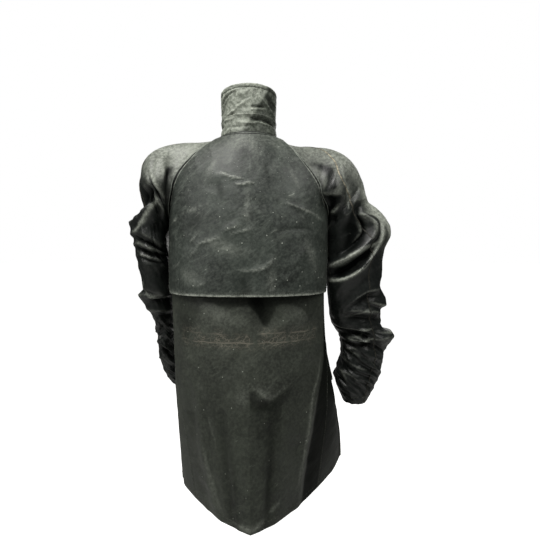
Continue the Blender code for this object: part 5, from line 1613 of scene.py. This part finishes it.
def raglan_seams(faces, normals, cloths):
    """A welt on each sleeve half, along its raglan edge, and a fine cord beside it, painted pale as the
    highlight along the sleeve's turned edge.
    """
    rows = np.arange(FIRST_SEAM_ROW, UPPER_ROWS + 1, dtype=float)
    cords = []
    for name, side in BOTH_SIDES:
        wide = RAGLAN_WELTS[name]
        for half in ("back", "front"):
            panel = f"sleeve_{half}_{name}"
            grid, normal = faces[panel], normals[panel]
            columns = grid.shape[1] - 1
            # the raglan edge is the grid's column nearest the body
            at_left = (half == "back") == (side < 0)
            pace = np.linalg.norm(
                (grid[:, 1] - grid[:, 0]) if at_left else (grid[:, -1] - grid[:, -2]), axis=-1)
            pace = np.maximum(pace[FIRST_SEAM_ROW : UPPER_ROWS + 1], 1e-6)
            near, far = (
                inside / pace if at_left else columns - inside / pace
                for inside in (wide / 2, wide + 0.001)
            )
            add_welt(f"raglan_welt_{half}_{name}", grid, normal, rows, near, wide, 0.0008,
                     cloths["welt"], slot="waxed_cotton_dark")
            cords.append((
                on_grid(grid, rows, far) + 0.0002 * unit(on_grid(normal, rows, far)),
                on_grid(normal, rows, far),
            ))
    cord_of(cords, "raglan_highlight_cords", cloths["highlight_cord"], RAGLAN_CORD)


def neck_seam(cape, cloths):
    """Two fine lines under the collar, where the cape is sewn into the neck."""
    grid, normal = cape
    column = np.linspace(3, CAPE_GRID[2] - 3, 220)
    pace = np.linalg.norm(grid[1] - grid[0], axis=-1)
    for number, far in enumerate(NECK_LINES, 1):
        row = far / np.interp(column, np.arange(len(pace)), pace)
        add_welt(f"neck_seam_line_{number}", grid, normal, row, column, 0.0026, 0.0004,
                 cloths["welt"])


def over_arm_seams(faces, normals, cloths):
    """The seams along the outside of the arms, rubbed pale from the shoulder to the underarm."""
    for name, side in BOTH_SIDES:
        down, across = seam_path(OVER_ARM_SEAM[name])
        panel = "sleeve_back_" + name
        row, column = grid_place(panel, down, across, side)
        worn = 0.9 * smooth((down[:, None] - 0.4) / 0.2) * smooth((1.15 - down[:, None]) / 0.3)
        add_welt("over_arm_seam_" + name, faces[panel], normals[panel], row, column, 0.0032,
                 0.0009, cloths["seam"], slot="waxed_cotton_dark",
                 worn=np.broadcast_to(worn, (len(down), WELT_COLUMNS)))


def topstitching(faces, normals, cape, collar, flaps, cotton):
    """Rows of stitches along the hems, the lap, the cuffs, the flaps, the cape and the collar."""
    rows = [stitched((faces["back"], normals["back"]), "bottom", HEM_STITCHING)]
    for name, lap in (("left", "right"), ("right", "left")):
        front = (faces["front_" + name], normals["front_" + name])
        rows.append(stitched(front, "bottom", HEM_STITCHING))
        rows.append(stitched(front, lap, EDGE_STITCHING))
        for half in ("back", "front"):
            panel = f"sleeve_{half}_{name}"
            rows.append(stitched((faces[panel], normals[panel]), "bottom", CUFF_STITCHING))
        flap = flaps[name]
        rows += [stitched(flap, edge, EDGE_STITCHING, 0.0, 0.9) for edge in ("left", "right")]
        rows += [stitched(flap, "bottom", EDGE_STITCHING), stitched(flap, "top", SEAM_STITCHING)]
    add_stitches("topstitching_coat", rows, cotton["dull"])
    rows = [stitched(cape, "bottom", EDGE_STITCHING, 0.02, 0.98)]
    rows += [stitched(cape, edge, EDGE_STITCHING, 0.66, 0.99) for edge in ("left", "right")]
    add_stitches("topstitching_cape", rows, cotton["pale"])
    fall, stand = collar["collar_fall"], collar["collar_stand"]
    rows = [stitched(fall, "top", COLLAR_STITCHING)]
    rows += [stitched(fall, edge, COLLAR_STITCHING, 0.1, 1) for edge in ("left", "right")]
    rows.append(stitched(stand, "bottom", SEAM_STITCHING))
    rows.append(stitched(fall, "bottom", FALL_STITCHING))
    add_stitches("topstitching_collar", rows, cotton["dull"])


def add_stage():
    """A pale painted floor, lit from inside so that it meets the white room without an edge."""
    paint, shader = new_material("matt white floor paint", 0.9, 0.1, Emission_Color=(1, 1, 0.99, 1))
    place = add_node(paint, "ShaderNodeTexCoord", out="Object")
    mottle = add_node(paint, "ShaderNodeTexNoise", {"Vector": place, "Scale": 3.0})
    ramp = add_node(paint, "ShaderNodeValToRGB", {"Fac": mottle},
                    [(0.3, linear("#e6e6e4")), (0.7, linear("#eeeeed"))])
    seen = add_node(paint, "ShaderNodeLightPath", out="Is Camera Ray")
    paint.node_tree.links.new(ramp, shader.inputs["Base Color"])
    paint.node_tree.links.new(seen, shader.inputs["Emission Strength"])
    mesh = bpy.data.meshes.new("floor")
    x, y = np.meshgrid(np.linspace(-30, 30, 7), np.linspace(-60, 20, 7))
    points = np.stack([x, y, np.full_like(x, FLOOR)], -1).reshape(-1, 3)
    index = np.arange(49).reshape(7, 7)
    quads = np.stack([index[:-1, :-1], index[:-1, 1:], index[1:, 1:], index[1:, :-1]], -1)
    mesh.from_pydata(points.tolist(), [], quads.reshape(-1, 4).tolist())
    mesh.materials.append(paint)
    floor = bpy.data.objects.new("floor", mesh)
    bpy.context.scene.collection.objects.link(floor)


def light_room():
    """A white room that lights the cloth only faintly, and the soft boxes that light it."""
    bpy.context.scene.view_settings.view_transform = "Standard"
    world = bpy.data.worlds.new("white room")
    bpy.context.scene.world = world
    world.use_nodes = True
    nodes = world.node_tree.nodes
    seen = nodes["Background"]
    seen.inputs["Color"].default_value = (1, 1, 1, 1)
    seen.inputs["Strength"].default_value = 1.0
    faint = add_node(world, "ShaderNodeBackground", {
        "Color": (0.95, 1.0, 0.97, 1), "Strength": ROOM_LIGHT})
    to_camera = add_node(world, "ShaderNodeLightPath", out="Is Camera Ray")
    room = add_node(world, "ShaderNodeMixShader", {0: to_camera, 1: faint, 2: seen.outputs[0]})
    world.node_tree.links.new(room, nodes["World Output"].inputs["Surface"])
    for name, watts, side, place, aim in SOFT_BOXES:
        lamp = bpy.data.lights.new(name, "AREA")
        lamp.energy = watts
        lamp.size = side
        lamp.color = (1.0, 0.985, 0.955)
        box = bpy.data.objects.new(name, lamp)
        box.location = place
        box.rotation_euler = (Vector(aim) - Vector(place)).to_track_quat("-Z", "Y").to_euler()
        box.visible_camera = False
        bpy.context.scene.collection.objects.link(box)


def aim_camera():
    """The photograph's view: from behind, a little above the middle of the coat's height."""
    camera = bpy.data.cameras.new("camera")
    camera.lens = 26.0
    camera.sensor_width = 36.0
    camera.clip_end = 200
    holder = bpy.data.objects.new("camera", camera)
    bpy.context.scene.collection.objects.link(holder)
    yaw, pitch = np.radians(CAMERA_YAW), np.radians(CAMERA_PITCH)
    level = np.array([-np.sin(yaw), -np.cos(yaw), 0])
    right = np.array([-np.cos(yaw), np.sin(yaw), 0])
    ahead = np.cos(pitch) * level - np.sin(pitch) * np.array([0, 0, 1])
    above = np.cross(right, ahead)
    turned = np.eye(4)
    turned[:3, 0], turned[:3, 1], turned[:3, 2] = right, above, -ahead
    turned[:3, 3] = CAMERA_PLACE
    holder.matrix_world = Matrix(turned.tolist())
    bpy.context.scene.camera = holder


def main():
    aim_camera()
    add_stage()
    light_room()
    cloths = {
        "body": waxed_cotton("waxed cotton, body", "#363a33", "#252823", "#555a50", "#a2a79c", 0.48,
                             rubs=0.4, mottle=0.35, specks=0.13, belt=True),
        "cape": waxed_cotton("waxed cotton, rubbed cape", "#393f3a", "#232724", "#60665f", "#b6bbb0",
                             0.45, rubs=0.6, mottle=0.4, specks=0.18),
        "sleeve": waxed_cotton("waxed cotton, dark sleeves", "#171b19", "#0f1211", "#292e2a",
                               "#aaafa4", 0.38, rubs=0.2, mottle=0.35, specular=0.45),
        "collar": waxed_cotton("waxed cotton, collar", "#535a4f", "#363c34", "#959c8f", "#bdc2b6",
                               0.44, rubs=0.5, mottle=0.5, grain=0.2),
        # a pale cord that stands in for the highlight along the sleeves' turned edges at the raglan seams
        "highlight_cord": waxed_cotton("waxed cotton, corded seam painted pale as a highlight", "#80867d", "#5c625c", "#a0a69c", "#a2a79c",
                             0.5, rubs=0.3),
        "welt": waxed_cotton("waxed cotton, welts", "#101211", "#0b0d0c", "#1c201d", "#a2a79c", 0.45,
                             rubs=0.2, mottle=0.2),
        "seam": waxed_cotton("waxed cotton, rubbed seams", "#2a2a25", "#1e1f1b", "#5a5547",
                             "#b0a892", 0.5, rubs=0.3),
    }
    cotton = {
        "dull": thread("polyester-cotton thread, waxed dark", "#33362f", "#6d7068"),
        "pale": thread("polyester-cotton thread, rubbed pale", "#4a4e46", "#8d918a"),
    }
    faces, normals = build_panels(cloths)
    cape = build_cape(cloths["cape"])
    collar = build_collar(cloths["collar"])
    flaps = build_flaps(cloths["body"])
    build_buttons(horn_resin(), cotton["dull"])
    build_buttonholes(faces["front_left"], normals["front_left"], cotton["pale"])
    raglan_seams(faces, normals, cloths)
    neck_seam(cape, cloths)
    over_arm_seams(faces, normals, cloths)
    topstitching(faces, normals, cape, collar, flaps, cotton)


main()
